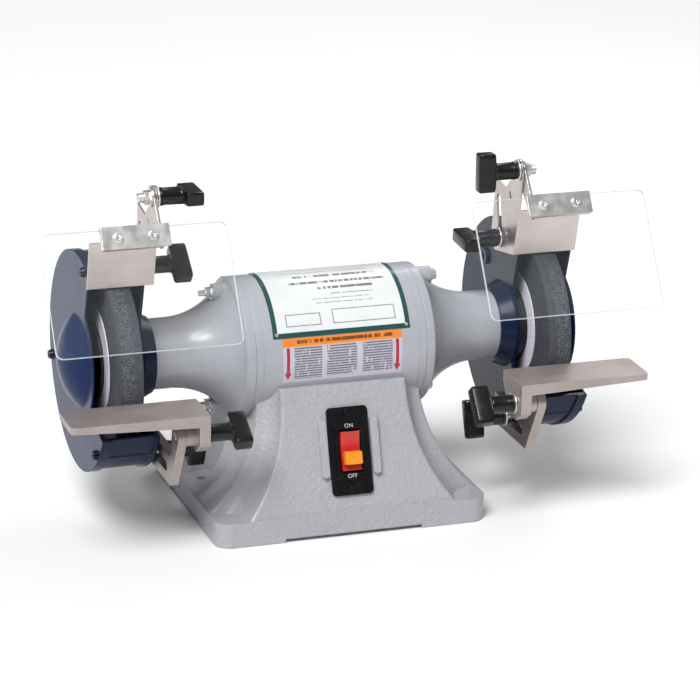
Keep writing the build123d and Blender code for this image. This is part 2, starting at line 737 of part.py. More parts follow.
with BuildPart() as guard:
    with BuildSketch(on_spindle(GUARD_IN)):
        Circle(GUARD_BAND_R)
    extrude(amount=GUARD_WALL)
    with BuildSketch(on_spindle(GUARD_IN)):
        Circle(GUARD_BAND_R)
        Circle(GUARD_BAND_R - BAND_T, mode=Mode.SUBTRACT)
    extrude(amount=GUARD_OUT - GUARD_IN)
    for start, width in ((GUARD_IN, 3.4), (GUARD_OUT - 6.3, 6.3)):
        with BuildSketch(on_spindle(start)):
            Circle(GUARD_R)
            Circle(GUARD_BAND_R - 1, mode=Mode.SUBTRACT)
        extrude(amount=width)
    extrude(mouth(GUARD_IN, INNER_LOBE_R), amount=GUARD_OUT - GUARD_IN, mode=Mode.SUBTRACT)
    # bosses that take the cover screws
    with BuildSketch(on_spindle(GUARD_IN)):
        with Locations(*cover_screw_points):
            Circle(BOSS_R)
    extrude(amount=GUARD_OUT - GUARD_IN)
    with BuildSketch(on_spindle(GUARD_OUT)):
        with Locations(*cover_screw_points):
            Circle(COVER_SCREW_R + RUNNING_FIT)
    extrude(amount=-14, mode=Mode.SUBTRACT)
    # flared hub that bolts to the end bell
    with BuildSketch(on_spindle(NECK_END)):
        Circle(HUB_R)
    with BuildSketch(on_spindle(GUARD_IN)):
        Circle(HUB_FLARE_R)
    loft()
    # pads for the clamping studs and a cast boss
    for centre, radius, start in ((ARRESTOR_STUD, 8, 151.3), (BRACKET_STUD, 9, 151.8), (CAST_BOSS, 7, CAST_BOSS_START)):
        with BuildSketch(across(start)):
            with Locations(centre):
                Circle(radius)
        extrude(amount=GUARD_IN - start)
    with BuildSketch(across(CAST_BOSS_START)):
        with Locations(CAST_BOSS):
            Circle(3)
    extrude(amount=1, mode=Mode.SUBTRACT)
    with BuildSketch(across(150)):
        with Locations(ARRESTOR_STUD, BRACKET_STUD):
            Circle(STUD_R + RUNNING_FIT)
    extrude(amount=10, mode=Mode.SUBTRACT)
    with BuildSketch(on_spindle(NECK_END)):
        Circle(HUB_BORE_R)
        with PolarLocations(MOUNT_CIRCLE, 3, start_angle=90):
            Circle(MOUNT_R + RUNNING_FIT)
    extrude(amount=WALL_FACE - NECK_END, mode=Mode.SUBTRACT)
    with BuildSketch(on_spindle(WALL_FACE)):
        with PolarLocations(MOUNT_CIRCLE, 3, start_angle=90):
            Circle(MOUNT_HEAD_R + RUNNING_FIT)
    extrude(amount=-MOUNT_HEAD_T, taper=MOUNT_HEAD_TAPER, mode=Mode.SUBTRACT)
save_pair(guard.part, "guard")

with BuildPart() as guard_mount_screws:
    with BuildSketch(on_spindle(NECK_END - 6)):
        with PolarLocations(MOUNT_CIRCLE, 3, start_angle=90):
            Circle(MOUNT_R)
    extrude(amount=WALL_FACE - NECK_END + 5)
    with BuildSketch(on_spindle(WALL_FACE)):
        with PolarLocations(MOUNT_CIRCLE, 3, start_angle=90):
            Circle(MOUNT_HEAD_R)
    extrude(amount=-MOUNT_HEAD_T, taper=MOUNT_HEAD_TAPER)
    mirror(about=Plane.YZ)
save(guard_mount_screws.part, "guard_mount_screws")

DOME_ARC = (DOME_R**2 + DOME_H**2) / (2 * DOME_H)
DOME_CENTRE = COVER_FACE + DOME_H - DOME_ARC
INNER_ARC = DOME_ARC - COVER_T
INNER_DOME_R = sqrt(INNER_ARC**2 - (GUARD_OUT - DOME_CENTRE) ** 2)
DOME_MID_R = 20.0

with BuildPart() as guard_cover:
    with BuildSketch(on_spindle(GUARD_OUT)):
        Circle(GUARD_R)
        Circle(INNER_DOME_R, mode=Mode.SUBTRACT)
    extrude(amount=COVER_T)
    with BuildSketch(Plane.XZ):
        with BuildLine():
            ThreePointArc(
                (COVER_FACE, SPINDLE_Z + DOME_R),
                (DOME_CENTRE + sqrt(DOME_ARC**2 - DOME_MID_R**2), SPINDLE_Z + DOME_MID_R),
                (DOME_CENTRE + DOME_ARC, SPINDLE_Z),
            )
            ThreePointArc(
                (GUARD_OUT, SPINDLE_Z + INNER_DOME_R),
                (DOME_CENTRE + sqrt(INNER_ARC**2 - DOME_MID_R**2), SPINDLE_Z + DOME_MID_R),
                (DOME_CENTRE + INNER_ARC, SPINDLE_Z),
            )
            Line((DOME_CENTRE + INNER_ARC, SPINDLE_Z), (DOME_CENTRE + DOME_ARC, SPINDLE_Z))
            Line((GUARD_OUT, SPINDLE_Z + INNER_DOME_R), (COVER_FACE, SPINDLE_Z + DOME_R))
        make_face()
    revolve(axis=SPINDLE)
    extrude(mouth(GUARD_OUT, COVER_LOBE_R), amount=COVER_T, mode=Mode.SUBTRACT)
    with BuildSketch(on_spindle(GUARD_OUT)):
        with Locations(*cover_screw_points):
            Circle(COVER_SCREW_R + RUNNING_FIT)
    extrude(amount=COVER_T, mode=Mode.SUBTRACT)
save_pair(guard_cover.part, "guard_cover")

with BuildPart() as cover_screws:
    with BuildSketch(on_spindle(GUARD_OUT - COVER_SCREW_L)):
        with Locations(*cover_screw_points):
            Circle(COVER_SCREW_R)
    extrude(amount=COVER_FACE - GUARD_OUT + COVER_SCREW_L)
    with BuildSketch(on_spindle(COVER_FACE)):
        with Locations(*cover_screw_points):
            Circle(COVER_HEAD_R)
    extrude(amount=COVER_HEAD_T, taper=18)
    with BuildSketch(on_spindle(COVER_FACE + COVER_HEAD_T)):
        with Locations(*cover_screw_points):
            Rectangle(4, 0.9)
            Rectangle(0.9, 4)
    extrude(amount=-1.6, mode=Mode.SUBTRACT)
    mirror(about=Plane.YZ)
save(cover_screws.part, "cover_screws")


# ---------------------------------------------------------------- tool rests
LUG_OUT = 136.0
REST_BOSS_R = 8.5
REST_BOSS_OUT = BRACKET_IN - 0.3
REST_ROOT_T = 9.0
REST_TIP_T = 5.0
SLOT_W = 2 * STUD_R + 0.6
BRACKET_SLOT_L = 48.0
BRACKET_SLOT_Y = -54.0

with BuildPart() as tool_rest:
    with BuildSketch(Plane.XZ.offset(-REST_FRONT)):
        with BuildLine():
            Polyline(
                (REST_IN, REST_TOP),
                (REST_OUT, REST_TOP),
                (REST_OUT, REST_TOP - REST_TIP_T),
                (LUG_OUT, REST_TOP - REST_ROOT_T),
                (REST_IN, REST_TOP - REST_ROOT_T),
                close=True,
            )
        make_face()
    extrude(amount=REST_FRONT - REST_BACK)
    fillet(tool_rest.edges().filter_by(Axis.Z).group_by(Axis.X)[-1], 4)
    with BuildSketch(across(REST_IN)):
        with BuildLine():
            Polyline(
                (REST_FRONT, REST_TOP),
                (REST_BACK, REST_TOP),
                (REST_BACK, 114),
                (-91.5, 96),
                (-99, 90.5),
                (-109, 90.5),
                (REST_FRONT, 98),
                close=True,
            )
        make_face()
    extrude(amount=LUG_OUT - REST_IN)
    with BuildSketch(across(REST_IN)):
        with Locations(REST_PIVOT):
            Circle(REST_BOSS_R)
    extrude(amount=REST_BOSS_OUT - REST_IN)
    with BuildSketch(across(REST_IN)):
        with Locations(REST_PIVOT):
            Circle(STUD_R + RUNNING_FIT)
    extrude(amount=REST_BOSS_OUT - REST_IN, mode=Mode.SUBTRACT)
save_pair(tool_rest.part, "tool_rest")

with BuildPart() as rest_bracket:
    with BuildSketch(across(BRACKET_IN)) as bracket_outline:
        with BuildLine():
            Polyline((-90, 57), (-112, 98.5), (-95.1, 104), (-92, 82), (-22, 82), (-22, 57), close=True)
        make_face()
        fillet(bracket_outline.vertices().sort_by(Axis.Z)[0:3], 5)
        with Locations(REST_PIVOT):
            Circle(9)
        with Locations((BRACKET_SLOT_Y, BRACKET_STUD[1])):
            SlotCenterToCenter(BRACKET_SLOT_L, SLOT_W, mode=Mode.SUBTRACT)
        with Locations(REST_PIVOT):
            Circle(STUD_R + RUNNING_FIT, mode=Mode.SUBTRACT)
    extrude(amount=BRACKET_OUT - BRACKET_IN)
save_pair(rest_bracket.part, "rest_bracket")


# ---------------------------------------------------------------- spark arrestors
SLIDE_Y = 0.2154
SLIDE_Z = 0.9765
SLIDE_ANGLE = 77.56
ARRESTOR_SLOT_L = 35.0
ARRESTOR_SLOT_LOW = 4.0
ARRESTOR_LOW = (-36.6, 203.5)
ARRESTOR_HIGH = (-45.0, 243.0)
slot_middle = ARRESTOR_SLOT_L / 2 - ARRESTOR_SLOT_LOW

with BuildPart() as spark_arrestor:
    with BuildSketch(across(ARRESTOR_IN)):
        with BuildLine():
            Polyline(
                ARRESTOR_LOW,
                ARRESTOR_HIGH,
                (-49, 273),
                (-34, 282),
                (-24, 262),
                (-15, 254),
                (6, 257),
                (11.5, 212),
                (4, 196),
                close=True,
            )
        make_face()
        with Locations(SHIELD_PIVOT):
            Circle(9)
            Circle(STUD_R + RUNNING_FIT, mode=Mode.SUBTRACT)
        with Locations(
            Location(
                (ARRESTOR_STUD[0] + slot_middle * SLIDE_Y, ARRESTOR_STUD[1] + slot_middle * SLIDE_Z, 0),
                (0, 0, SLIDE_ANGLE),
            )
        ):
            SlotCenterToCenter(ARRESTOR_SLOT_L, SLOT_W, mode=Mode.SUBTRACT)
        with Locations((-26, 250)):
            SlotOverall(8, 3, rotation=60, mode=Mode.SUBTRACT)
    extrude(amount=SHEET)
    with BuildSketch(across(ARRESTOR_IN)):
        with BuildLine():
            Polyline(
                ARRESTOR_LOW,
                ARRESTOR_HIGH,
                (ARRESTOR_HIGH[0] + SHEET, ARRESTOR_HIGH[1]),
                (ARRESTOR_LOW[0] + SHEET, ARRESTOR_LOW[1]),
                close=True,
            )
        make_face()
    extrude(amount=ARRESTOR_OUT - ARRESTOR_IN)
save_pair(spark_arrestor.part, "spark_arrestor")


# ---------------------------------------------------------------- eye shields
ARM_IN = ARRESTOR_IN + SHEET + 0.3
ARM_T = 2.0
CLAMP_IN = 146.5
CLAMP_OUT = 200.0
CLAMP_T = 1.6
CLAMP_LOW = -16.5
CLAMP_HIGH = 1.5
CLAMP_SCREW_R = 1.8
CLAMP_SCREW_L = 8.6
CLAMP_HEAD_R = 4.2
CLAMP_HEAD_T = 2.4
HINGE_R = 9.0
HINGE_WASHER_T = 1.0
shield_x = SHIELD_PLANE.origin.X
clamp_middle = (CLAMP_IN + CLAMP_OUT) / 2 - shield_x
strip_middle = (ARM_IN + CLAMP_OUT) / 2 - shield_x
clamp_points = [(clamp_middle + side * 13.75, (CLAMP_LOW + CLAMP_HIGH) / 2) for side in (-1, 1)]

with BuildPart() as eye_shield:
    with BuildSketch(SHIELD_PLANE):
        with Locations((0, -SHIELD_H / 2)):
            RectangleRounded(SHIELD_OUT - SHIELD_IN, SHIELD_H, 6)
        with Locations(*clamp_points):
            Circle(CLAMP_SCREW_R + RUNNING_FIT, mode=Mode.SUBTRACT)
    extrude(amount=-SHIELD_T)
save_pair(eye_shield.part, "eye_shield")

with BuildPart() as shield_arm:
    with BuildSketch(across(ARM_IN)):
        with BuildLine():
            Polyline(on_shield(4, -3), on_shield(-16, -3), on_shield(-16, -9), (-34, 268), (-44, 283), close=True)
        make_face()
        with Locations(SHIELD_PIVOT):
            Circle(9)
            Circle(STUD_R + RUNNING_FIT, mode=Mode.SUBTRACT)
    extrude(amount=ARM_T)
    with BuildSketch(SHIELD_PLANE.offset(-SHIELD_T)):
        with Locations((strip_middle, -7)):
            Rectangle(CLAMP_OUT - ARM_IN, 18)
        with Locations(*clamp_points):
            Circle(CLAMP_SCREW_R + RUNNING_FIT, mode=Mode.SUBTRACT)
    extrude(amount=-ARM_T)
save_pair(shield_arm.part, "shield_arm")

with BuildPart() as clamp_plate:
    with BuildSketch(SHIELD_PLANE):
        with Locations((clamp_middle, (CLAMP_LOW + CLAMP_HIGH) / 2)):
            RectangleRounded(CLAMP_OUT - CLAMP_IN, CLAMP_HIGH - CLAMP_LOW, 1)
        with Locations(*clamp_points):
            Circle(CLAMP_SCREW_R + RUNNING_FIT, mode=Mode.SUBTRACT)
    extrude(amount=CLAMP_T)
save_pair(clamp_plate.part, "clamp_plate")

with BuildPart() as shield_hardware:
    with BuildSketch(SHIELD_PLANE.offset(-CLAMP_SCREW_L)):
        with Locations(*clamp_points):
            Circle(CLAMP_SCREW_R)
    extrude(amount=CLAMP_SCREW_L + CLAMP_T)
    with BuildSketch(SHIELD_PLANE.offset(CLAMP_T)):
        with Locations(*clamp_points):
            Circle(CLAMP_HEAD_R)
    extrude(amount=CLAMP_HEAD_T, taper=22)
    with BuildSketch(SHIELD_PLANE.offset(CLAMP_T + CLAMP_HEAD_T)):
        with Locations(*clamp_points):
            Rectangle(3.8, 0.9)
            Rectangle(0.9, 3.8)
    extrude(amount=-1.3, mode=Mode.SUBTRACT)
    with BuildSketch(SHIELD_PLANE.offset(-SHIELD_T - ARM_T)):
        with Locations(*clamp_points):
            RegularPolygon(3.5, 6, major_radius=False)
    extrude(amount=-2.8)
    with BuildSketch(across(ARM_IN + ARM_T)):
        with Locations(SHIELD_PIVOT):
            Circle(7.5)
            Circle(STUD_R + RUNNING_FIT, mode=Mode.SUBTRACT)
    extrude(amount=HINGE_WASHER_T)
    with BuildSketch(across(ARM_IN + ARM_T + HINGE_WASHER_T)):
        with Locations(SHIELD_PIVOT):
            RegularPolygon(5.0, 6, major_radius=False)
            Circle(STUD_R + RUNNING_FIT, mode=Mode.SUBTRACT)
    extrude(amount=4.7)
save_pair(shield_hardware.part, "shield_hardware")


# ---------------------------------------------------------------- wing knobs
def knob(centre, face, washers, stud_end, wing_angle):
    """Wing knob whose washers end at `face`, with its stud running on outboard."""
    hub_end = face - washers
    wing_start = hub_end - KNOB_HUB_L
    with BuildPart() as turned:
        with BuildSketch(across(wing_start)):
            with Locations(centre):
                Circle(KNOB_HUB_R)
        extrude(amount=KNOB_HUB_L)
        with BuildSketch(across(wing_start)):
            with Locations(Location((centre[0], centre[1], 0), (0, 0, wing_angle))):
                RectangleRounded(KNOB_WING_L, KNOB_WING_W, 2)
        extrude(amount=-KNOB_WING_T)
        fillet(turned.faces().sort_by(Axis.X)[0].edges(), 1.2)
        with BuildSketch(across(hub_end)):
            with Locations(centre):
                Circle(WASHER_R)
        extrude(amount=washers)
        with BuildSketch(across(face)):
            with Locations(centre):
                Circle(STUD_R)
        extrude(amount=stud_end - face)
    return turned.part


def save_knobs(name, centre, face, washers, stud_end, right_angle, left_angle):
    """Write the right-hand and left-hand knobs of one kind, each at its own rest angle."""
    save(knob(centre, face, washers, stud_end, right_angle), f"{name}_right")
    save(mirror(knob(centre, face, washers, stud_end, left_angle), about=Plane.YZ), f"{name}_left")


save_knobs("tilt_knob", REST_PIVOT, REST_IN - WASHER_GAP, WASHER_T, 151, 50, 28)
save_knobs("slide_knob", BRACKET_STUD, BRACKET_IN - WASHER_GAP, WASHER_T, 158, 70, 110)
save_knobs("arrestor_knob", ARRESTOR_STUD, ARRESTOR_IN - WASHER_GAP, WASHER_T + 1.2, 158, 3, 38)
save_knobs("shield_knob", SHIELD_PIVOT, ARRESTOR_IN - WASHER_GAP, WASHER_T, 164, 87, 0)
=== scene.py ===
import json
from math import asin, atan2, cos, pi, radians, sin

import bmesh
import bpy
from mathutils import Matrix, Vector


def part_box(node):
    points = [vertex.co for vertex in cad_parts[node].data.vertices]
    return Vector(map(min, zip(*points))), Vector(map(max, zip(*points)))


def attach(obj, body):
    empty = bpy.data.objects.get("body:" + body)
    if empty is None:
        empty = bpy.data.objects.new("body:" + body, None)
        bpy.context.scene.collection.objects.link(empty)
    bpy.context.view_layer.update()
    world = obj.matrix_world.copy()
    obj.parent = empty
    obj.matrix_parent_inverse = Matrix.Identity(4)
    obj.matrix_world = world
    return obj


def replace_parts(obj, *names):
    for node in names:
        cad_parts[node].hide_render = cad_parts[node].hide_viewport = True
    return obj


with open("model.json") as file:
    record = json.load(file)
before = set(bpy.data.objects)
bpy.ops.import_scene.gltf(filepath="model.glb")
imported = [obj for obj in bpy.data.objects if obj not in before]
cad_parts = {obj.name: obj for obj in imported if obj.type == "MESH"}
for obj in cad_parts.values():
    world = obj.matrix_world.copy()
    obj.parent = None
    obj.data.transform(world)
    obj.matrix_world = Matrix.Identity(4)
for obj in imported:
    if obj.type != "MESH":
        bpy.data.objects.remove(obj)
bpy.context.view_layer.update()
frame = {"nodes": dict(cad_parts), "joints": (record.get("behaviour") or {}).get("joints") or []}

# The looks of the bench grinder. Metres; X runs along the spindle to the operator's right,
# Y runs away from the operator and Z runs up from the bench.

nodes = frame["nodes"]
joints = {joint["name"]: joint for joint in frame["joints"]}
SPINDLE_Z = joints["spindle_turn"]["pos_m"][2]
SIDES = {"right": 1, "left": -1}
MM = 0.001
MOTOR_R = 57 * MM
PLATE_R = MOTOR_R + 0.3 * MM
WHEEL_R = 76.2 * MM
# how far the label reaches up round the motor, measured along its face
LABEL_TOP = MOTOR_R * asin((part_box("information_label")[1].z - SPINDLE_Z) / MOTOR_R)


# ---------------------------------------------------------------- building materials
class Finish:
    """One procedural material, built up node by node from positions on the object at rest."""

    def __init__(self, name):
        self.material = bpy.data.materials.new(name)
        self.material.use_nodes = True
        self.tree = self.material.node_tree
        self.tree.nodes.clear()
        output = self.tree.nodes.new("ShaderNodeOutputMaterial")
        self.shader = self.tree.nodes.new("ShaderNodeBsdfPrincipled")
        self.tree.links.new(self.shader.outputs["BSDF"], output.inputs["Surface"])
        self.place = self.tree.nodes.new("ShaderNodeTexCoord").outputs["Object"]
        self.rounding = None

    def feed(self, socket, value):
        """Links a node's output to a socket, or sets the socket to a plain value."""
        if isinstance(value, bpy.types.NodeSocket):
            self.tree.links.new(value, socket)
        elif isinstance(value, (tuple, list)) and len(value) == 3 and socket.type == "RGBA":
            socket.default_value = (*value, 1)
        else:
            socket.default_value = value

    def set(self, **values):
        """Sets sockets of the main shader; underscores stand for spaces."""
        for name, value in values.items():
            self.feed(self.shader.inputs[name.replace("_", " ")], value)

    def math(self, operation, first, second=0.0):
        """One sum, product or other operation on two values."""
        node = self.tree.nodes.new("ShaderNodeMath")
        node.operation = operation
        for socket, value in zip(node.inputs, (first, second)):
            self.feed(socket, value)
        return node.outputs[0]

    def product(self, first, *others):
        """The values multiplied together."""
        for other in others:
            first = self.math("MULTIPLY", first, other)
        return first

    def span(self, value, low, high, to_low=0.0, to_high=1.0):
        """Maps low..high to to_low..to_high with soft ends."""
        node = self.tree.nodes.new("ShaderNodeMapRange")
        node.interpolation_type = "SMOOTHSTEP"
        for name, entry in (
            ("Value", value),
            ("From Min", low),
            ("From Max", high),
            ("To Min", to_low),
            ("To Max", to_high),
        ):
            self.feed(node.inputs[name], entry)
        return node.outputs["Result"]

    def within(self, value, low, high, soft=0.00015):
        """1 where a length lies between low and high, 0 outside."""
        above = self.span(value, low - soft, low + soft)
        below = self.span(value, high - soft, high + soft, 1.0, 0.0)
        return self.product(above, below)

    def patch(self, along, up, area):
        """1 inside an area given as left, right, low and high, 0 outside."""
        left, right, low, high = area
        return self.product(self.within(along, left, right), self.within(up, low, high))

    def mix(self, factor, first, second):
        """The first colour at factor 0, the second at factor 1."""
        node = self.tree.nodes.new("ShaderNodeMix")
        node.data_type = "RGBA"
        self.feed(node.inputs["Factor"], factor)
        self.feed(node.inputs[6], first)
        self.feed(node.inputs[7], second)
        return node.outputs[2]

    def stretched(self, scale):
        """The position, stretched along each axis by scale."""
        node = self.tree.nodes.new("ShaderNodeMapping")
        self.feed(node.inputs["Vector"], self.place)
        node.inputs["Scale"].default_value = scale
        return node.outputs["Vector"]

    def noise(self, size, detail=3.0, roughness=0.5, stretch=None, vector=None):
        """Noise whose lumps are about size metres across."""
        node = self.tree.nodes.new("ShaderNodeTexNoise")
        where = vector or (self.stretched(stretch) if stretch else self.place)
        self.feed(node.inputs["Vector"], where)
        node.inputs["Scale"].default_value = 0.5 / size
        node.inputs["Detail"].default_value = detail
        node.inputs["Roughness"].default_value = roughness
        return node.outputs["Fac"]

    def letter_gaps(self):
        """0 in narrow gaps along X and 1 between them, so that a bar looks like a line of text."""
        return self.span(self.noise(0.8 * MM, detail=2, stretch=(1, 0.1, 0.1)), 0.38, 0.44)

    def grains(self, size, output="Distance", feature="F1"):
        """Cells about size metres across."""
        node = self.tree.nodes.new("ShaderNodeTexVoronoi")
        node.feature = feature
        self.feed(node.inputs["Vector"], self.place)
        node.inputs["Scale"].default_value = 1 / size
        return node.outputs[output]

    def axes(self):
        """X, Y and Z of the position."""
        node = self.tree.nodes.new("ShaderNodeSeparateXYZ")
        self.feed(node.inputs["Vector"], self.place)
        return node.outputs

    def around_spindle(self):
        """Radius and angle about the spindle; the angle is up from the front horizontal."""
        x, y, z = self.axes()
        height = self.math("SUBTRACT", z, SPINDLE_Z)
        squares = self.math("ADD", self.product(y, y), self.product(height, height))
        radius = self.math("SQRT", squares)
        angle = self.math("ARCTAN2", height, self.math("MULTIPLY", y, -1.0))
        return radius, angle

    def round_edges(self, radius):
        """Shades sharp edges as if they had this radius."""
        node = self.tree.nodes.new("ShaderNodeBevel")
        node.samples = 6
        node.inputs["Radius"].default_value = radius
        self.rounding = node.outputs["Normal"]

    def edge_wear(self, radius, low=0.02, high=0.25):
        """1 on outer edges within radius, 0 on flat faces."""
        node = self.tree.nodes.new("ShaderNodeBevel")
        node.samples = 6
        node.inputs["Radius"].default_value = radius
        geometry = self.tree.nodes.new("ShaderNodeNewGeometry")
        dot = self.tree.nodes.new("ShaderNodeVectorMath")
        dot.operation = "DOT_PRODUCT"
        self.feed(dot.inputs[0], node.outputs["Normal"])
        self.feed(dot.inputs[1], geometry.outputs["True Normal"])
        return self.span(self.math("SUBTRACT", 1.0, dot.outputs["Value"]), low, high)

    def relief(self, height, depth):
        """Bump of the given depth in metres, on top of any rounding or earlier relief."""
        node = self.tree.nodes.new("ShaderNodeBump")
        node.inputs["Strength"].default_value = 1.0
        node.inputs["Distance"].default_value = depth
        self.feed(node.inputs["Height"], height)
        if self.rounding is not None:
            self.feed(node.inputs["Normal"], self.rounding)
        self.rounding = node.outputs["Normal"]
        self.feed(self.shader.inputs["Normal"], self.rounding)


def shade(colour, factor):
    """The colour made lighter or darker."""
    return tuple(min(1.0, part * factor) for part in colour)


# ---------------------------------------------------------------- the materials
def painted(name, colour, roughness, peel, depth, coat, shine=0.5):
    """Paint over metal: orange peel, faint blotches, dark flecks and rubbed edges."""
    paint = Finish(name)
    paint.round_edges(0.0008)
    blotch = paint.noise(0.03, detail=4)
    rubbed = paint.edge_wear(0.0009)
    tint = paint.mix(paint.span(blotch, 0.3, 0.7), shade(colour, 0.93), shade(colour, 1.05))
    fleck = paint.span(paint.noise(0.0011, detail=2), 0.62, 0.75)
    tint = paint.mix(paint.math("MULTIPLY", fleck, 0.25), tint, shade(colour, 0.75))
    spots = paint.math("MULTIPLY", rubbed, paint.span(paint.noise(0.004), 0.35, 0.75))
    tint = paint.mix(paint.math("MULTIPLY", spots, 0.5), tint, shade(colour, 1.35))
    gloss = paint.span(paint.noise(0.012, detail=4), 0.25, 0.75, roughness * 0.85, roughness * 1.15)
    paint.set(Base_Color=tint, Roughness=gloss, Coat_Weight=coat, Coat_Roughness=0.12)
    paint.set(Specular_IOR_Level=shine)
    paint.relief(paint.noise(peel, detail=2), depth)
    paint.relief(paint.noise(peel * 0.35, detail=3), depth * 0.25)
    return paint.material


def cast_paint():
    """Light grey hammered paint on the rough base casting."""
    colour = (0.345, 0.352, 0.378)
    paint = Finish("hammered_grey_paint")
    paint.round_edges(0.0018)
    dimples = paint.grains(0.0026, feature="SMOOTH_F1")
    sand = paint.noise(0.0013, detail=4, roughness=0.6)
    blotch = paint.noise(0.025, detail=5)
    tint = paint.mix(paint.span(blotch, 0.3, 0.7), shade(colour, 0.92), shade(colour, 1.05))
    tint = paint.mix(paint.span(sand, 0.56, 0.72, 0.0, 0.35), tint, shade(colour, 0.72))
    tint = paint.mix(paint.span(dimples, 0.2, 0.75, 0.0, 0.3), shade(colour, 1.12), tint)
    worn = paint.math("MULTIPLY", paint.edge_wear(0.0014), paint.span(paint.noise(0.006), 0.4, 0.7))
    tint = paint.mix(paint.math("MULTIPLY", worn, 0.45), tint, shade(colour, 1.35))
    paint.set(
        Base_Color=tint,
        Roughness=paint.span(sand, 0.3, 0.7, 0.34, 0.5),
        Coat_Weight=0.25,
        Coat_Roughness=0.2,
    )
    paint.relief(paint.noise(0.011, detail=2), 0.0009)
    paint.relief(dimples, 0.0006)
    paint.relief(sand, 0.00028)
    return paint.material


def brushed(name, colour, roughness, along, bright=1.5, metallic=1.0):
    """Satin metal with fine scratches along one axis, faint stains and bright worn edges."""
    metal = Finish(name)
    metal.round_edges(0.0006)
    stretch = tuple(0.03 if axis == along else 1.0 for axis in "xyz")
    lines = metal.noise(0.0006, detail=4, roughness=0.65, stretch=stretch)
    broad = metal.noise(0.004, detail=3, stretch=stretch)
    cloud = metal.noise(0.02, detail=4)
    tint = metal.mix(metal.span(cloud, 0.3, 0.7), shade(colour, 0.9), shade(colour, 1.08))
    tint = metal.mix(metal.span(lines, 0.4, 0.7, 0.0, 0.22), tint, shade(colour, 1.18))
    tint = metal.mix(metal.math("MULTIPLY", metal.edge_wear(0.0007), 0.8), tint, shade(colour, bright))
    metal.set(
        Base_Color=tint,
        Metallic=metallic,
        Roughness=metal.span(broad, 0.3, 0.7, roughness * 0.92, roughness * 1.1),
    )
    metal.relief(lines, 0.000015)
    return metal.material


def turned_steel(name, dull, bright):
    """Steel turned in a lathe about the spindle."""
    metal = Finish(name)
    metal.round_edges(0.0004)
    radius = metal.around_spindle()[0]
    x = metal.axes()[0]
    combined = metal.tree.nodes.new("ShaderNodeCombineXYZ")
    metal.feed(combined.inputs[0], x)
    metal.feed(combined.inputs[1], radius)
    rings = metal.noise(0.0004, detail=3, vector=combined.outputs[0])
    cloud = metal.noise(0.012, detail=4)
    tint = metal.mix(metal.span(cloud, 0.35, 0.7), dull, bright)
    metal.set(Base_Color=tint, Metallic=1.0, Roughness=metal.span(rings, 0.3, 0.7, 0.28, 0.42))
    metal.relief(rings, 0.00005)
    return metal.material


def zinc(name, colour, roughness):
    """Bright zinc plate with faint clouding, small scuffs and rubbed edges."""
    metal = Finish(name)
    metal.round_edges(0.0004)
    cloud = metal.noise(0.005, detail=5)
    scuffs = metal.noise(0.0011, detail=4, roughness=0.65)
    tint = metal.mix(metal.span(cloud, 0.3, 0.7), shade(colour, 0.88), shade(colour, 1.06))
    tint = metal.mix(metal.span(scuffs, 0.58, 0.75, 0.0, 0.35), tint, shade(colour, 0.8))
    tint = metal.mix(metal.math("MULTIPLY", metal.edge_wear(0.0005), 0.5), tint, shade(colour, 1.25))
    gloss = metal.span(cloud, 0.3, 0.7, roughness * 0.85, roughness * 1.2)
    metal.set(Base_Color=tint, Metallic=1.0, Roughness=gloss)
    metal.relief(scuffs, 0.00002)
    return metal.material


def black_oxide():
    """Blackened steel screws."""
    metal = Finish("black_oxide_steel")
    metal.round_edges(0.0003)
    worn = metal.edge_wear(0.0004)
    cloud = metal.noise(0.002, detail=4)
    tint = metal.mix(metal.span(cloud, 0.4, 0.7), (0.012, 0.014, 0.02), (0.035, 0.037, 0.045))
    tint = metal.mix(metal.math("MULTIPLY", worn, 0.5), tint, (0.16, 0.16, 0.17))
    metal.set(Base_Color=tint, Metallic=0.8, Roughness=metal.span(cloud, 0.3, 0.7, 0.28, 0.45))
    metal.relief(cloud, 0.00004)
    return metal.material


def moulded(name, colour, roughness, texture=0.0005, depth=0.00003, coat=0.0, shine=0.5):
    """Moulded plastic with a fine texture, faint flow marks and polished edges."""
    plastic = Finish(name)
    plastic.round_edges(0.0005)
    flow = plastic.noise(0.009, detail=4)
    tint = plastic.mix(plastic.span(flow, 0.3, 0.7), shade(colour, 0.85), shade(colour, 1.15))
    rubbed = plastic.edge_wear(0.0005)
    tint = plastic.mix(plastic.math("MULTIPLY", rubbed, 0.3), tint, shade(colour, 1.8))
    gloss = plastic.span(plastic.noise(0.004, detail=5), 0.3, 0.7, roughness * 0.8, roughness * 1.3)
    plastic.set(Base_Color=tint, Roughness=gloss, Coat_Weight=coat, Coat_Roughness=0.1)
    plastic.set(Specular_IOR_Level=shine)
    plastic.relief(plastic.noise(texture, detail=2), depth)
    return plastic.material


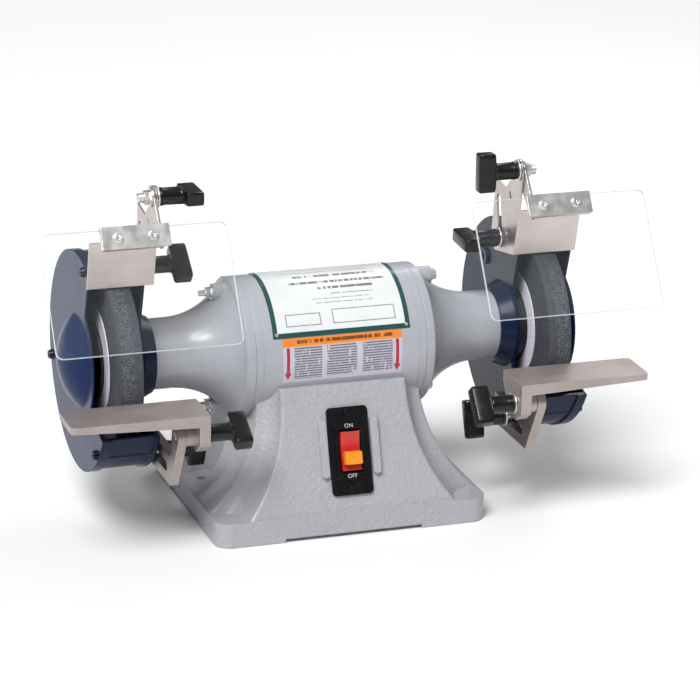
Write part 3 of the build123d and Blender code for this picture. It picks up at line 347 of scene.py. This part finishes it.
def abrasive():
    """Vitrified grit: open and speckled on the grinding face, denser on the flanks."""
    stone = Finish("vitrified_abrasive")
    radius = stone.around_spindle()[0]
    x = stone.math("ABSOLUTE", stone.axes()[0])
    grit = stone.tree.nodes.new("ShaderNodeSeparateColor")
    stone.feed(grit.inputs[0], stone.grains(0.0005, output="Color"))
    pores = stone.grains(0.0009)
    face = stone.span(radius, WHEEL_R - 1.0 * MM, WHEEL_R - 0.3 * MM)
    dust = stone.noise(0.006, detail=5)
    dark = stone.mix(grit.outputs[0], (0.036, 0.039, 0.050), (0.105, 0.112, 0.132))
    light = stone.mix(stone.span(grit.outputs[1], 0.5, 1.0), (0.045, 0.049, 0.060), (0.23, 0.245, 0.27))
    side = stone.mix(stone.span(dust, 0.3, 0.7), dark, (0.058, 0.062, 0.076))
    low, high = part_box("wheel_right")
    middle = (low.x + high.x) / 2
    # a lighter speckled band across the grinding face, set a little off its middle
    lighter_face_band = stone.within(x, middle - 3.2 * MM, middle + 7.5 * MM, 1.2 * MM)
    face_colour = stone.mix(stone.math("MULTIPLY", lighter_face_band, 0.85), dark, light)
    stone.set(
        Base_Color=stone.mix(face, side, face_colour),
        Roughness=0.88,
        Specular_IOR_Level=0.3,
    )
    stone.relief(pores, 0.00022)
    stone.relief(stone.noise(0.0005, detail=3), 0.00012)
    return stone.material


def blotter_card():
    """Pale lavender card washer with a faint darker ring at the flange's rim."""
    card = Finish("blotter_card")
    radius = card.around_spindle()[0]
    fibre = card.noise(0.0009, detail=5, roughness=0.7)
    tint = card.mix(card.span(fibre, 0.35, 0.7), (0.70, 0.68, 0.78), (0.84, 0.82, 0.90))
    # darker ring from 30 to 31.8 mm out, where the flange's rim sits on the card
    flange_rim_ring = card.within(radius, 30.0 * MM, 31.8 * MM, 0.4 * MM)
    tint = card.mix(card.math("MULTIPLY", flange_rim_ring, 0.4), tint, (0.42, 0.41, 0.47))
    card.set(Base_Color=tint, Roughness=0.8)
    card.relief(fibre, 0.00006)
    return card.material


def clear_sheet(name, tint, alpha, roughness):
    """Clear polycarbonate: faces let light through, and cut edges catch it."""
    sheet = Finish(name)
    haze = sheet.noise(0.03, detail=4)
    scratches = sheet.noise(0.0007, detail=4, stretch=(0.03, 1, 1))
    sheet.set(
        Base_Color=sheet.mix(sheet.span(haze, 0.3, 0.7), shade(tint, 0.96), tint),
        Roughness=sheet.span(haze, 0.3, 0.7, roughness * 0.7, roughness * 1.5),
        Alpha=sheet.span(scratches, 0.6, 0.8, alpha, alpha * 1.35),
        Specular_IOR_Level=0.5,
        IOR=1.58,
    )
    sheet.relief(haze, 0.00003)
    return sheet.material


# Areas of print as left, right, low and high, in metres: along the spindle, and up round the
# motor from its front at the spindle's height.
PLATE_FIELD = (-0.0532, 0.0532, 0.0264, 0.1028)
PLATE_RULE = (-0.040, 0.038, 0.0880, 0.0886)
PLATE_BOXES = (
    (-0.045, -0.016, 0.0310, 0.0410),
    (-0.006, 0.046, 0.0310, 0.0430),
)
PLATE_TEXT = (
    (-0.028, 0.040, 0.0790, 0.0822),
    (-0.034, 0.046, 0.0700, 0.0730),
    (-0.012, 0.034, 0.0628, 0.0655),
    (-0.004, 0.032, 0.0572, 0.0580),
    (-0.020, 0.028, 0.0528, 0.0534),
    (-0.018, 0.030, 0.0490, 0.0496),
)
BOX_LINE = 0.6 * MM
TEXT_INK = 0.85


def printed_plate():
    """White nameplate with a dark green border, two outlined boxes and broken bars for text."""
    plate = Finish("printed_nameplate")
    angle = plate.around_spindle()[1]
    along = plate.axes()[0]
    up = plate.math("MULTIPLY", angle, PLATE_R)
    white = (0.80, 0.82, 0.82)
    ink = (0.08, 0.085, 0.09)
    green = (0.012, 0.075, 0.075)
    cloud = plate.noise(0.02, detail=4)
    tint = plate.mix(plate.span(cloud, 0.3, 0.7), shade(white, 0.95), white)
    letters = plate.letter_gaps()
    for area in PLATE_BOXES:
        left, right, low, high = area
        hollow = (left + BOX_LINE, right - BOX_LINE, low + BOX_LINE, high - BOX_LINE)
        outer = plate.patch(along, up, area)
        inner = plate.patch(along, up, hollow)
        tint = plate.mix(plate.math("SUBTRACT", outer, inner), tint, ink)
    for area in PLATE_TEXT:
        bar = plate.patch(along, up, area)
        tint = plate.mix(plate.product(bar, letters, TEXT_INK), tint, ink)
    tint = plate.mix(plate.patch(along, up, PLATE_RULE), tint, ink)
    tint = plate.mix(plate.patch(along, up, PLATE_FIELD), green, tint)
    plate.set(
        Base_Color=tint,
        Metallic=0.1,
        Roughness=plate.span(cloud, 0.3, 0.7, 0.22, 0.34),
        Coat_Weight=0.3,
        Coat_Roughness=0.1,
    )
    plate.relief(plate.noise(0.004, detail=3), 0.00006)
    return plate.material


BAND_LOW = LABEL_TOP - 6.8 * MM
COLUMN_TOP = LABEL_TOP - 7.3 * MM
LABEL_BAND_TEXT = (-0.038, 0.042, LABEL_TOP - 4.6 * MM, LABEL_TOP - 1.8 * MM)
LABEL_COLUMNS = (
    (-0.0405, -0.0175, -0.0118, COLUMN_TOP),
    (-0.0135, 0.0115, -0.0112, COLUMN_TOP),
    (0.0165, 0.0415, -0.0108, COLUMN_TOP),
)
LINE_PITCH = 2.1 * MM
ARROW_AT = 45.5 * MM
ARROW_TIP = -12.2 * MM
ARROW_HEAD_TOP = -6.2 * MM


def printed_label():
    """Film label: an orange band over a pale panel with three ruled columns and two red arrows."""
    label = Finish("printed_film_label")
    angle = label.around_spindle()[1]
    along = label.axes()[0]
    up = label.math("MULTIPLY", angle, MOTOR_R)
    tint = label.mix(label.noise(0.01), (0.50, 0.48, 0.56), (0.57, 0.55, 0.62))
    line = label.math("FRACT", label.math("MULTIPLY", up, 1 / LINE_PITCH))
    rule = label.within(line, 0.12, 0.70, 0.10)
    broken = label.span(label.noise(0.0009, detail=2, stretch=(1, 0.3, 0.3)), 0.34, 0.40)
    for area in LABEL_COLUMNS:
        text = label.product(label.patch(along, up, area), rule, broken, TEXT_INK)
        tint = label.mix(text, tint, (0.07, 0.06, 0.10))
    for centre in (-ARROW_AT, ARROW_AT):
        offset = label.math("ABSOLUTE", label.math("SUBTRACT", along, centre))
        stem = label.product(
            label.span(offset, 1.2 * MM, 1.4 * MM, 1.0, 0.0),
            label.within(up, -6.5 * MM, COLUMN_TOP),
        )
        slope = label.math("MULTIPLY", label.math("SUBTRACT", up, ARROW_TIP), 0.5)
        head = label.product(
            label.math("LESS_THAN", offset, slope),
            label.within(up, ARROW_TIP, ARROW_HEAD_TOP),
        )
        tint = label.mix(label.math("MAXIMUM", stem, head), tint, (0.40, 0.012, 0.05))
    band = label.within(up, BAND_LOW, LABEL_TOP + 1 * MM)
    tint = label.mix(band, tint, (0.80, 0.24, 0.03))
    blocks = label.patch(along, up, LABEL_BAND_TEXT)
    text = label.product(blocks, label.letter_gaps(), TEXT_INK)
    tint = label.mix(text, tint, (0.06, 0.03, 0.02))
    label.set(Base_Color=tint, Roughness=label.span(label.noise(0.01), 0.3, 0.7, 0.3, 0.42))
    label.relief(label.noise(0.006), 0.00003)
    return label.material


WIRE_PITCH = 1.1 * MM
SHEET_PITCH = 1.0 * MM


def copper_wire():
    """Enamelled copper turns, wound around the bore."""
    wire = Finish("enamelled_copper")
    radius = wire.around_spindle()[0]
    x = wire.axes()[0]
    turns = wire.math("SINE", wire.math("MULTIPLY", wire.math("ADD", radius, x), 2 * pi / WIRE_PITCH))
    cloud = wire.noise(0.004, detail=4)
    tint = wire.mix(wire.span(cloud, 0.3, 0.7), (0.30, 0.09, 0.03), (0.50, 0.19, 0.07))
    wire.set(Base_Color=tint, Metallic=0.7, Roughness=wire.span(cloud, 0.3, 0.7, 0.28, 0.4))
    wire.relief(turns, 0.0003)
    return wire.material


def laminations():
    """Stacked core sheets seen from their edges."""
    stack = Finish("core_laminations")
    x = stack.axes()[0]
    sheets = stack.math("SINE", stack.math("MULTIPLY", x, 2 * pi / SHEET_PITCH))
    rust = stack.noise(0.008, detail=5)
    tint = stack.mix(stack.span(rust, 0.45, 0.75), (0.16, 0.16, 0.17), (0.24, 0.17, 0.12))
    stack.set(Base_Color=tint, Metallic=0.8, Roughness=stack.span(rust, 0.3, 0.7, 0.4, 0.6))
    stack.relief(sheets, 0.00015)
    return stack.material


base_paint = cast_paint()
motor_paint = painted("satin_grey_paint", (0.40, 0.41, 0.45), 0.36, 0.0022, 0.00012, 0.3)
navy_paint = painted("navy_enamel", (0.007, 0.014, 0.045), 0.25, 0.0024, 0.00006, 0.0, shine=0.15)
# the covers use a lighter copy of the guards' navy enamel: the lighter colour is painted reflection of
# the bright surroundings, with the shine turned down
reflection_lit_cover_paint = painted("navy_enamel_cover_painted_reflection", (0.014, 0.027, 0.085), 0.22, 0.003, 0.00004, 0.0, shine=0.08)
rest_metal = brushed("satin_rest_metal", (0.42, 0.36, 0.345), 0.42, "x", bright=2.2, metallic=0.6)
bracket_metal = brushed("bracket_metal", (0.40, 0.345, 0.325), 0.45, "z", bright=1.5)
arrestor_metal = brushed("brushed_stainless", (0.61, 0.545, 0.525), 0.36, "x", bright=1.35)
arm_metal = brushed("arm_metal", (0.60, 0.57, 0.53), 0.32, "z", bright=1.35)
bright_zinc = zinc("bright_zinc", (0.86, 0.86, 0.85), 0.34)
steel = turned_steel("turned_steel", (0.30, 0.30, 0.31), (0.47, 0.47, 0.48))
flange_steel = turned_steel("blued_flange_steel", (0.035, 0.037, 0.045), (0.085, 0.088, 0.10))
oxide = black_oxide()
knob_black = moulded("black_knob_plastic", (0.006, 0.0055, 0.0055), 0.24, depth=0.00001, shine=0.4)
switch_black = moulded(
    "black_switch_plastic",
    (0.005, 0.005, 0.0055),
    0.34,
    texture=0.0007,
    depth=0.00002,
    shine=0.25,
)
gland_black = moulded("black_gland_plastic", (0.02, 0.02, 0.02), 0.45)
rocker_red = moulded("red_rocker_plastic", (0.55, 0.018, 0.015), 0.25, coat=0.3)
key_orange = moulded("orange_key_plastic", (0.86, 0.27, 0.02), 0.35, coat=0.1)
can_plastic = moulded("capacitor_plastic", (0.03, 0.03, 0.034), 0.4)
grit = abrasive()
card = blotter_card()
shield_face = clear_sheet("clear_shield_face", (0.62, 0.68, 0.70), 0.018, 0.05)
shield_rim = clear_sheet("clear_shield_rim", (0.80, 0.88, 0.90), 0.72, 0.15)
plate_print = printed_plate()
label_print = printed_label()
copper = copper_wire()
stack_metal = laminations()

NODE_FINISHES = {
    "base_casting": base_paint,
    "base_cover_plate": motor_paint,
    "base_cover_screws": bright_zinc,
    "cord_gland": gland_black,
    "switch_plate": switch_black,
    "switch_body": switch_black,
    "switch_rocker": rocker_red,
    "safety_key": key_orange,
    "panel_screws": oxide,
    "motor_shell": motor_paint,
    "end_bell_left": motor_paint,
    "end_bell_right": motor_paint,
    "through_bolts": bright_zinc,
    "through_bolt_nuts": bright_zinc,
    "stator_core": stack_metal,
    "stator_windings": copper,
    "run_capacitor": can_plastic,
    "capacitor_clamp": bright_zinc,
    "nameplate": plate_print,
    "information_label": label_print,
    "nameplate_rivets": bright_zinc,
    "shaft": steel,
    "rotor_core": stack_metal,
    "bearing_inner_races": steel,
    "bearing_outer_races": steel,
    "bearing_balls": steel,
    "wheel_left": grit,
    "wheel_right": grit,
    "wheel_flanges": flange_steel,
    "wheel_blotters": card,
    "wheel_nuts": bright_zinc,
    "guard_left": navy_paint,
    "guard_right": navy_paint,
    "guard_cover_left": reflection_lit_cover_paint,
    "guard_cover_right": reflection_lit_cover_paint,
    "cover_screws": oxide,
    "guard_mount_screws": bright_zinc,
}
SIDE_FINISHES = {
    "rest_bracket": bracket_metal,
    "tool_rest": rest_metal,
    "tilt_knob": knob_black,
    "slide_knob": knob_black,
    "spark_arrestor": arrestor_metal,
    "arrestor_knob": knob_black,
    "shield_arm": arm_metal,
    "eye_shield": shield_face,
    "clamp_plate": bright_zinc,
    "shield_hardware": bright_zinc,
    "shield_knob": knob_black,
}
for side in SIDES:
    NODE_FINISHES.update({f"{piece}_{side}": finish for piece, finish in SIDE_FINISHES.items()})
for name, node in nodes.items():
    node.data.materials.clear()
    node.data.materials.append(NODE_FINISHES[name])


# ---------------------------------------------------------------- building meshes
def piece_from(name, vertices, faces, material, smooth=True):
    """A mesh object made from plain lists."""
    mesh = bpy.data.meshes.new(name)
    mesh.from_pydata(vertices, [], faces)
    mesh.materials.append(material)
    for polygon in mesh.polygons:
        polygon.use_smooth = smooth
    mesh.update()
    piece = bpy.data.objects.new(name, mesh)
    bpy.context.scene.collection.objects.link(piece)
    return piece


def loft(name, rings, material):
    """A closed skin through rings of the same number of points, with both ends capped."""
    count = len(rings[0])
    vertices = [point for ring in rings for point in ring]
    faces = []
    for level in range(len(rings) - 1):
        for index in range(count):
            following = (index + 1) % count
            low = level * count
            high = low + count
            faces.append((low + index, low + following, high + following, high + index))
    faces.append(tuple(reversed(range(count))))
    faces.append(tuple(range(len(vertices) - count, len(vertices))))
    piece = piece_from(name, vertices, faces, material)
    repair = bmesh.new()
    repair.from_mesh(piece.data)
    bmesh.ops.recalc_face_normals(repair, faces=repair.faces)
    repair.to_mesh(piece.data)
    repair.free()
    return piece


def section(x, centre, half_long, half_short, squareness, turn, count=72):
    """A ring square to X: an ellipse at squareness 2, close to a rectangle at 8."""
    ring = []
    for index in range(count):
        angle = 2 * pi * index / count
        c, s = cos(angle), sin(angle)
        reach = (abs(c) ** squareness + abs(s) ** squareness) ** (-1 / squareness)
        long, short = half_long * c * reach, half_short * s * reach
        y = centre[0] + long * cos(turn) - short * sin(turn)
        z = centre[1] + long * sin(turn) + short * cos(turn)
        ring.append((x, y, z))
    return ring


def turned(name, profile, centre, material, count=48):
    """A piece turned about a line along X through centre, from (x, radius) points."""
    rings = [section(x, centre, radius, radius, 2, 0, count) for x, radius in profile]
    return loft(name, rings, material)


THREAD_PITCH = 1.25 * MM


def thread(start, end, radius):
    """Profile of a threaded rod between two x positions."""
    turns = int(abs(end - start) / THREAD_PITCH)
    step = (end - start) / turns
    profile = [(start, radius * 0.80)]
    for index in range(turns):
        profile.append((start + step * (index + 0.25), radius))
        profile.append((start + step * (index + 0.45), radius))
        profile.append((start + step * (index + 0.80), radius * 0.86))
    profile.append((end, radius * 0.80))
    return profile


# ---------------------------------------------------------------- wing knobs
HUB_R = 7.2 * MM
HUB_LENGTH = 19.0 * MM
WING_LENGTH = 14.0 * MM
WING_HALF = 15.8 * MM
WING_THIN = 5.5 * MM
STUD_R = 3.9 * MM
WASHER_R = 8.5 * MM
WASHER_T = 1.4 * MM
WASHER_EDGE = 0.3 * MM
# how far each wing is turned from level at rest, in degrees, as in the CAD
KNOB_TURNS = {
    "tilt_knob_right": 50,
    "tilt_knob_left": 28,
    "slide_knob_right": 70,
    "slide_knob_left": 110,
    "arrestor_knob_right": 3,
    "arrestor_knob_left": 38,
    "shield_knob_right": 87,
    "shield_knob_left": 0,
}


def knob_body(node_name, side, centre, inner, turn):
    """Moulded hub that grows into a wing at its inner end, as one smooth skin."""
    steps = [
        (0.0, WING_HALF - 1.5 * MM, WING_THIN - 1.4 * MM, 9),
        (0.4 * MM, WING_HALF - 0.5 * MM, WING_THIN - 0.45 * MM, 10),
        (1.2 * MM, WING_HALF, WING_THIN, 12),
        (12.6 * MM, WING_HALF - 0.1 * MM, WING_THIN, 12),
        (13.4 * MM, WING_HALF - 0.5 * MM, WING_THIN - 0.1 * MM, 11),
        (WING_LENGTH - 0.1 * MM, WING_HALF - 1.4 * MM, WING_THIN - 0.4 * MM, 8),
        (WING_LENGTH, HUB_R + 0.8 * MM, HUB_R - 0.6 * MM, 2.4),
        (WING_LENGTH + 1.6 * MM, HUB_R - 0.1 * MM, HUB_R - 0.1 * MM, 2),
        (WING_LENGTH + 3.0 * MM, HUB_R - 0.3 * MM, HUB_R - 0.3 * MM, 2),
        (WING_LENGTH + 15.0 * MM, HUB_R - 0.3 * MM, HUB_R - 0.3 * MM, 2),
        (WING_LENGTH + 15.5 * MM, HUB_R, HUB_R, 2),
        (WING_LENGTH + HUB_LENGTH - 0.6 * MM, HUB_R, HUB_R, 2),
        (WING_LENGTH + HUB_LENGTH, HUB_R - 0.6 * MM, HUB_R - 0.6 * MM, 2),
    ]
    rings = [
        section(inner + side * along, centre, half_long, half_short, squareness, radians(turn))
        for along, half_long, half_short, squareness in steps
    ]
    return loft(f"{node_name}_moulding", rings, knob_black)


def make_knob(node_name, side_name):
    """Moulding, washer and threaded stud in place of one CAD knob."""
    side = SIDES[side_name]
    low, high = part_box(node_name)
    inner, outer = (low.x, high.x) if side > 0 else (high.x, low.x)
    kind = node_name.rsplit("_", 1)[0]
    _, y, z = joints[f"{kind}_turn_{side_name}"]["pos_m"]
    # each knob is a body of its own, named like its node
    body = node_name
    moulding = knob_body(node_name, side, (y, z), inner, KNOB_TURNS[node_name])
    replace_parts(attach(moulding, body), node_name)
    hub_end = inner + side * (WING_LENGTH + HUB_LENGTH)
    washer = turned(
        f"{node_name}_washer",
        [
            (hub_end, STUD_R),
            (hub_end, WASHER_R - WASHER_EDGE),
            (hub_end + side * WASHER_EDGE, WASHER_R),
            (hub_end + side * (WASHER_T - WASHER_EDGE), WASHER_R),
            (hub_end + side * WASHER_T, WASHER_R - WASHER_EDGE),
            (hub_end + side * WASHER_T, STUD_R),
        ],
        (y, z),
        bright_zinc,
    )
    stud = turned(f"{node_name}_stud", thread(hub_end, outer, STUD_R), (y, z), bright_zinc, 32)
    for part in (washer, stud):
        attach(part, body)


for knob_name in KNOB_TURNS:
    make_knob(knob_name, knob_name.rsplit("_", 1)[1])


# ---------------------------------------------------------------- eye shields
CORNER_R = 6.0 * MM
SHIELD_T = 3.0 * MM
SHIELD_EDGE = 0.35 * MM
# the top of the sheet leans back by this angle from upright, as in the CAD
SHIELD_LEAN = atan2(0.5355, 0.8445)
CORNER_STEPS = 8


def rounded_outline(half_width, half_height, corner):
    """Rectangle with round corners as (across, up) points."""
    points = []
    corners = ((1, 1, 0), (-1, 1, 90), (-1, -1, 180), (1, -1, 270))
    for sx, sy, start in corners:
        for step in range(CORNER_STEPS + 1):
            angle = radians(start + 90 * step / CORNER_STEPS)
            across = sx * (half_width - corner) + corner * cos(angle)
            up = sy * (half_height - corner) + corner * sin(angle)
            points.append((across, up))
    return points


def make_shield(side_name):
    """Clear sheet with polished faces and bright cut edges in place of a CAD shield."""
    node_name = f"eye_shield_{side_name}"
    low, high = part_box(node_name)
    # a sheet of length L and thickness T leaning at angle a is L cos a + T sin a high
    length = (high.z - low.z - SHIELD_T * sin(SHIELD_LEAN)) / cos(SHIELD_LEAN)
    centre = (low + high) / 2
    up = Vector((0, sin(SHIELD_LEAN), cos(SHIELD_LEAN)))
    front = Vector((0, -cos(SHIELD_LEAN), sin(SHIELD_LEAN)))
    half_width = (high.x - low.x) / 2
    rings = []
    layers = (
        (-SHIELD_T / 2, SHIELD_EDGE),
        (-SHIELD_T / 2 + SHIELD_EDGE, 0.0),
        (SHIELD_T / 2 - SHIELD_EDGE, 0.0),
        (SHIELD_T / 2, SHIELD_EDGE),
    )
    for proud, inset in layers:
        outline = rounded_outline(half_width - inset, length / 2 - inset, CORNER_R - inset)
        middle = centre + front * proud
        rings.append([tuple(middle + Vector((across, 0, 0)) + up * along) for across, along in outline])
    shield = loft(f"{node_name}_sheet", rings, shield_face)
    shield.data.materials.append(shield_rim)
    for polygon in shield.data.polygons:
        on_face = abs(polygon.normal.dot(front)) > 0.99
        polygon.material_index = 0 if on_face else 1
        polygon.use_smooth = not on_face
    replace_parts(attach(shield, f"shield_{side_name}"), node_name)


for side_name in SIDES:
    make_shield(side_name)


# ---------------------------------------------------------------- switch lettering
PIN_DEPTH = 1.5 * MM
PANEL_T = 2.2 * MM
FRAME_T = 1.6 * MM
PRINT_GAP = 0.05 * MM
# from the rocker's pin, which is under the base's face, to just off the raised frame
WORD_RISE = PIN_DEPTH + PANEL_T + FRAME_T + PRINT_GAP
WORD_HEIGHT = 4.6 * MM
WORD_T = 0.06 * MM
WORD_AT = 19.9 * MM


def panel_word(text, along_face):
    """A raised word printed on the switch plate, up or down the leaning face."""
    curve = bpy.data.curves.new(f"word_{text.lower()}", "FONT")
    curve.body = text
    curve.size = WORD_HEIGHT
    curve.align_x = "CENTER"
    curve.align_y = "CENTER"
    curve.extrude = WORD_T
    _, y, z = joints["switch_rock"]["pos_m"]
    normal = Vector(joints["key_pull"]["axis"]).normalized()
    across = Vector((1, 0, 0))
    up = normal.cross(across)
    place = Vector((0, y, z)) + up * along_face + normal * WORD_RISE
    turn = Matrix((across, up, normal)).transposed().to_4x4()
    draft = bpy.data.objects.new("draft", curve)
    bpy.context.scene.collection.objects.link(draft)
    bpy.context.view_layer.update()
    mesh = bpy.data.meshes.new_from_object(draft)
    bpy.data.objects.remove(draft)
    mesh.transform(Matrix.Translation(place) @ turn)
    mesh.materials.clear()
    mesh.materials.append(word_white)
    word = bpy.data.objects.new(f"switch_word_{text.lower()}", mesh)
    bpy.context.scene.collection.objects.link(word)
    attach(word, "base")


word_white = moulded("white_print", (0.75, 0.75, 0.75), 0.5)
panel_word("ON", WORD_AT)
panel_word("OFF", -WORD_AT)


# ---------------------------------------------------------------- floor, light and camera
FLOOR_HALF = 12.0
# the camera fitted to the photo
CAMERA_PLACE = (-0.78127, -2.27695, 0.95594)
CAMERA_YAW = radians(-19.51)
CAMERA_PITCH = radians(-19.05)
CAMERA_ROLL = radians(1.39)
SENSOR_MM = 36.0
LENS_MM = 162.44


def make_floor():
    """Plain pale floor."""
    near, far = -FLOOR_HALF, FLOOR_HALF
    corners = [(near, near, 0), (far, near, 0), (far, far, 0), (near, far, 0)]
    surface = Finish("pale_floor")
    cloud = surface.noise(0.4, detail=2)
    surface.set(Base_Color=surface.mix(cloud, (0.86, 0.86, 0.87), (0.90, 0.90, 0.90)), Roughness=0.7)
    floor = piece_from("floor", corners, [(0, 1, 2, 3)], surface.material, smooth=False)


def softbox(name, position, target, size, power):
    """A large rectangular lamp aimed at a point."""
    lamp = bpy.data.lights.new(name, "AREA")
    lamp.shape = "RECTANGLE"
    lamp.size, lamp.size_y = size
    lamp.energy = power
    holder = bpy.data.objects.new(name, lamp)
    bpy.context.scene.collection.objects.link(holder)
    holder.location = position
    holder.rotation_euler = (Vector(target) - Vector(position)).to_track_quat("-Z", "Y").to_euler()


def sunlight(name, direction, strength, width):
    """Wide even daylight along a direction; width is the angle it spans in degrees."""
    lamp = bpy.data.lights.new(name, "SUN")
    lamp.energy = strength
    lamp.angle = radians(width)
    holder = bpy.data.objects.new(name, lamp)
    bpy.context.scene.collection.objects.link(holder)
    holder.rotation_euler = Vector(direction).to_track_quat("-Z", "Y").to_euler()


def make_camera():
    """Camera in front, to the left of and above the grinder."""
    level = cos(CAMERA_PITCH)
    ahead = Vector((-sin(CAMERA_YAW) * level, cos(CAMERA_YAW) * level, sin(CAMERA_PITCH)))
    right = ahead.cross(Vector((0, 0, 1))).normalized()
    up = right.cross(ahead)
    tilted_right = right * cos(CAMERA_ROLL) + up * sin(CAMERA_ROLL)
    tilted_up = up * cos(CAMERA_ROLL) - right * sin(CAMERA_ROLL)
    lens = bpy.data.cameras.new("camera")
    lens.sensor_width = SENSOR_MM
    lens.lens = LENS_MM
    camera = bpy.data.objects.new("camera", lens)
    bpy.context.scene.collection.objects.link(camera)
    turn = Matrix((tilted_right, tilted_up, -ahead)).transposed().to_4x4()
    camera.matrix_world = Matrix.Translation(CAMERA_PLACE) @ turn
    bpy.context.scene.camera = camera


def make_world():
    """Pale surroundings, dimmer towards the horizon."""
    world = bpy.data.worlds.new("studio")
    world.use_nodes = True
    background = world.node_tree.nodes["Background"]
    links = world.node_tree.links
    place = world.node_tree.nodes.new("ShaderNodeTexCoord")
    split = world.node_tree.nodes.new("ShaderNodeSeparateXYZ")
    links.new(place.outputs["Generated"], split.inputs[0])
    ramp = world.node_tree.nodes.new("ShaderNodeMapRange")
    ramp.interpolation_type = "SMOOTHSTEP"
    ramp.inputs["From Min"].default_value = 0.15
    ramp.inputs["From Max"].default_value = 0.85
    ramp.inputs["To Min"].default_value = 0.14
    ramp.inputs["To Max"].default_value = 0.42
    links.new(split.outputs[2], ramp.inputs["Value"])
    background.inputs["Color"].default_value = (1.0, 1.0, 1.0, 1)
    links.new(ramp.outputs[0], background.inputs["Strength"])
    bpy.context.scene.world = world


make_floor()
make_world()
sunlight("daylight", (0.46, 0.55, -1.0), 2.75, 28)
softbox("key", (-1.0, -0.9, 1.3), (0, 0, 0.15), (0.5, 0.4), 5)
softbox("rim", (0.9, 0.9, 1.1), (0, 0, 0.2), (0.8, 0.5), 5)
make_camera()
bpy.context.scene.view_settings.view_transform = "Standard"
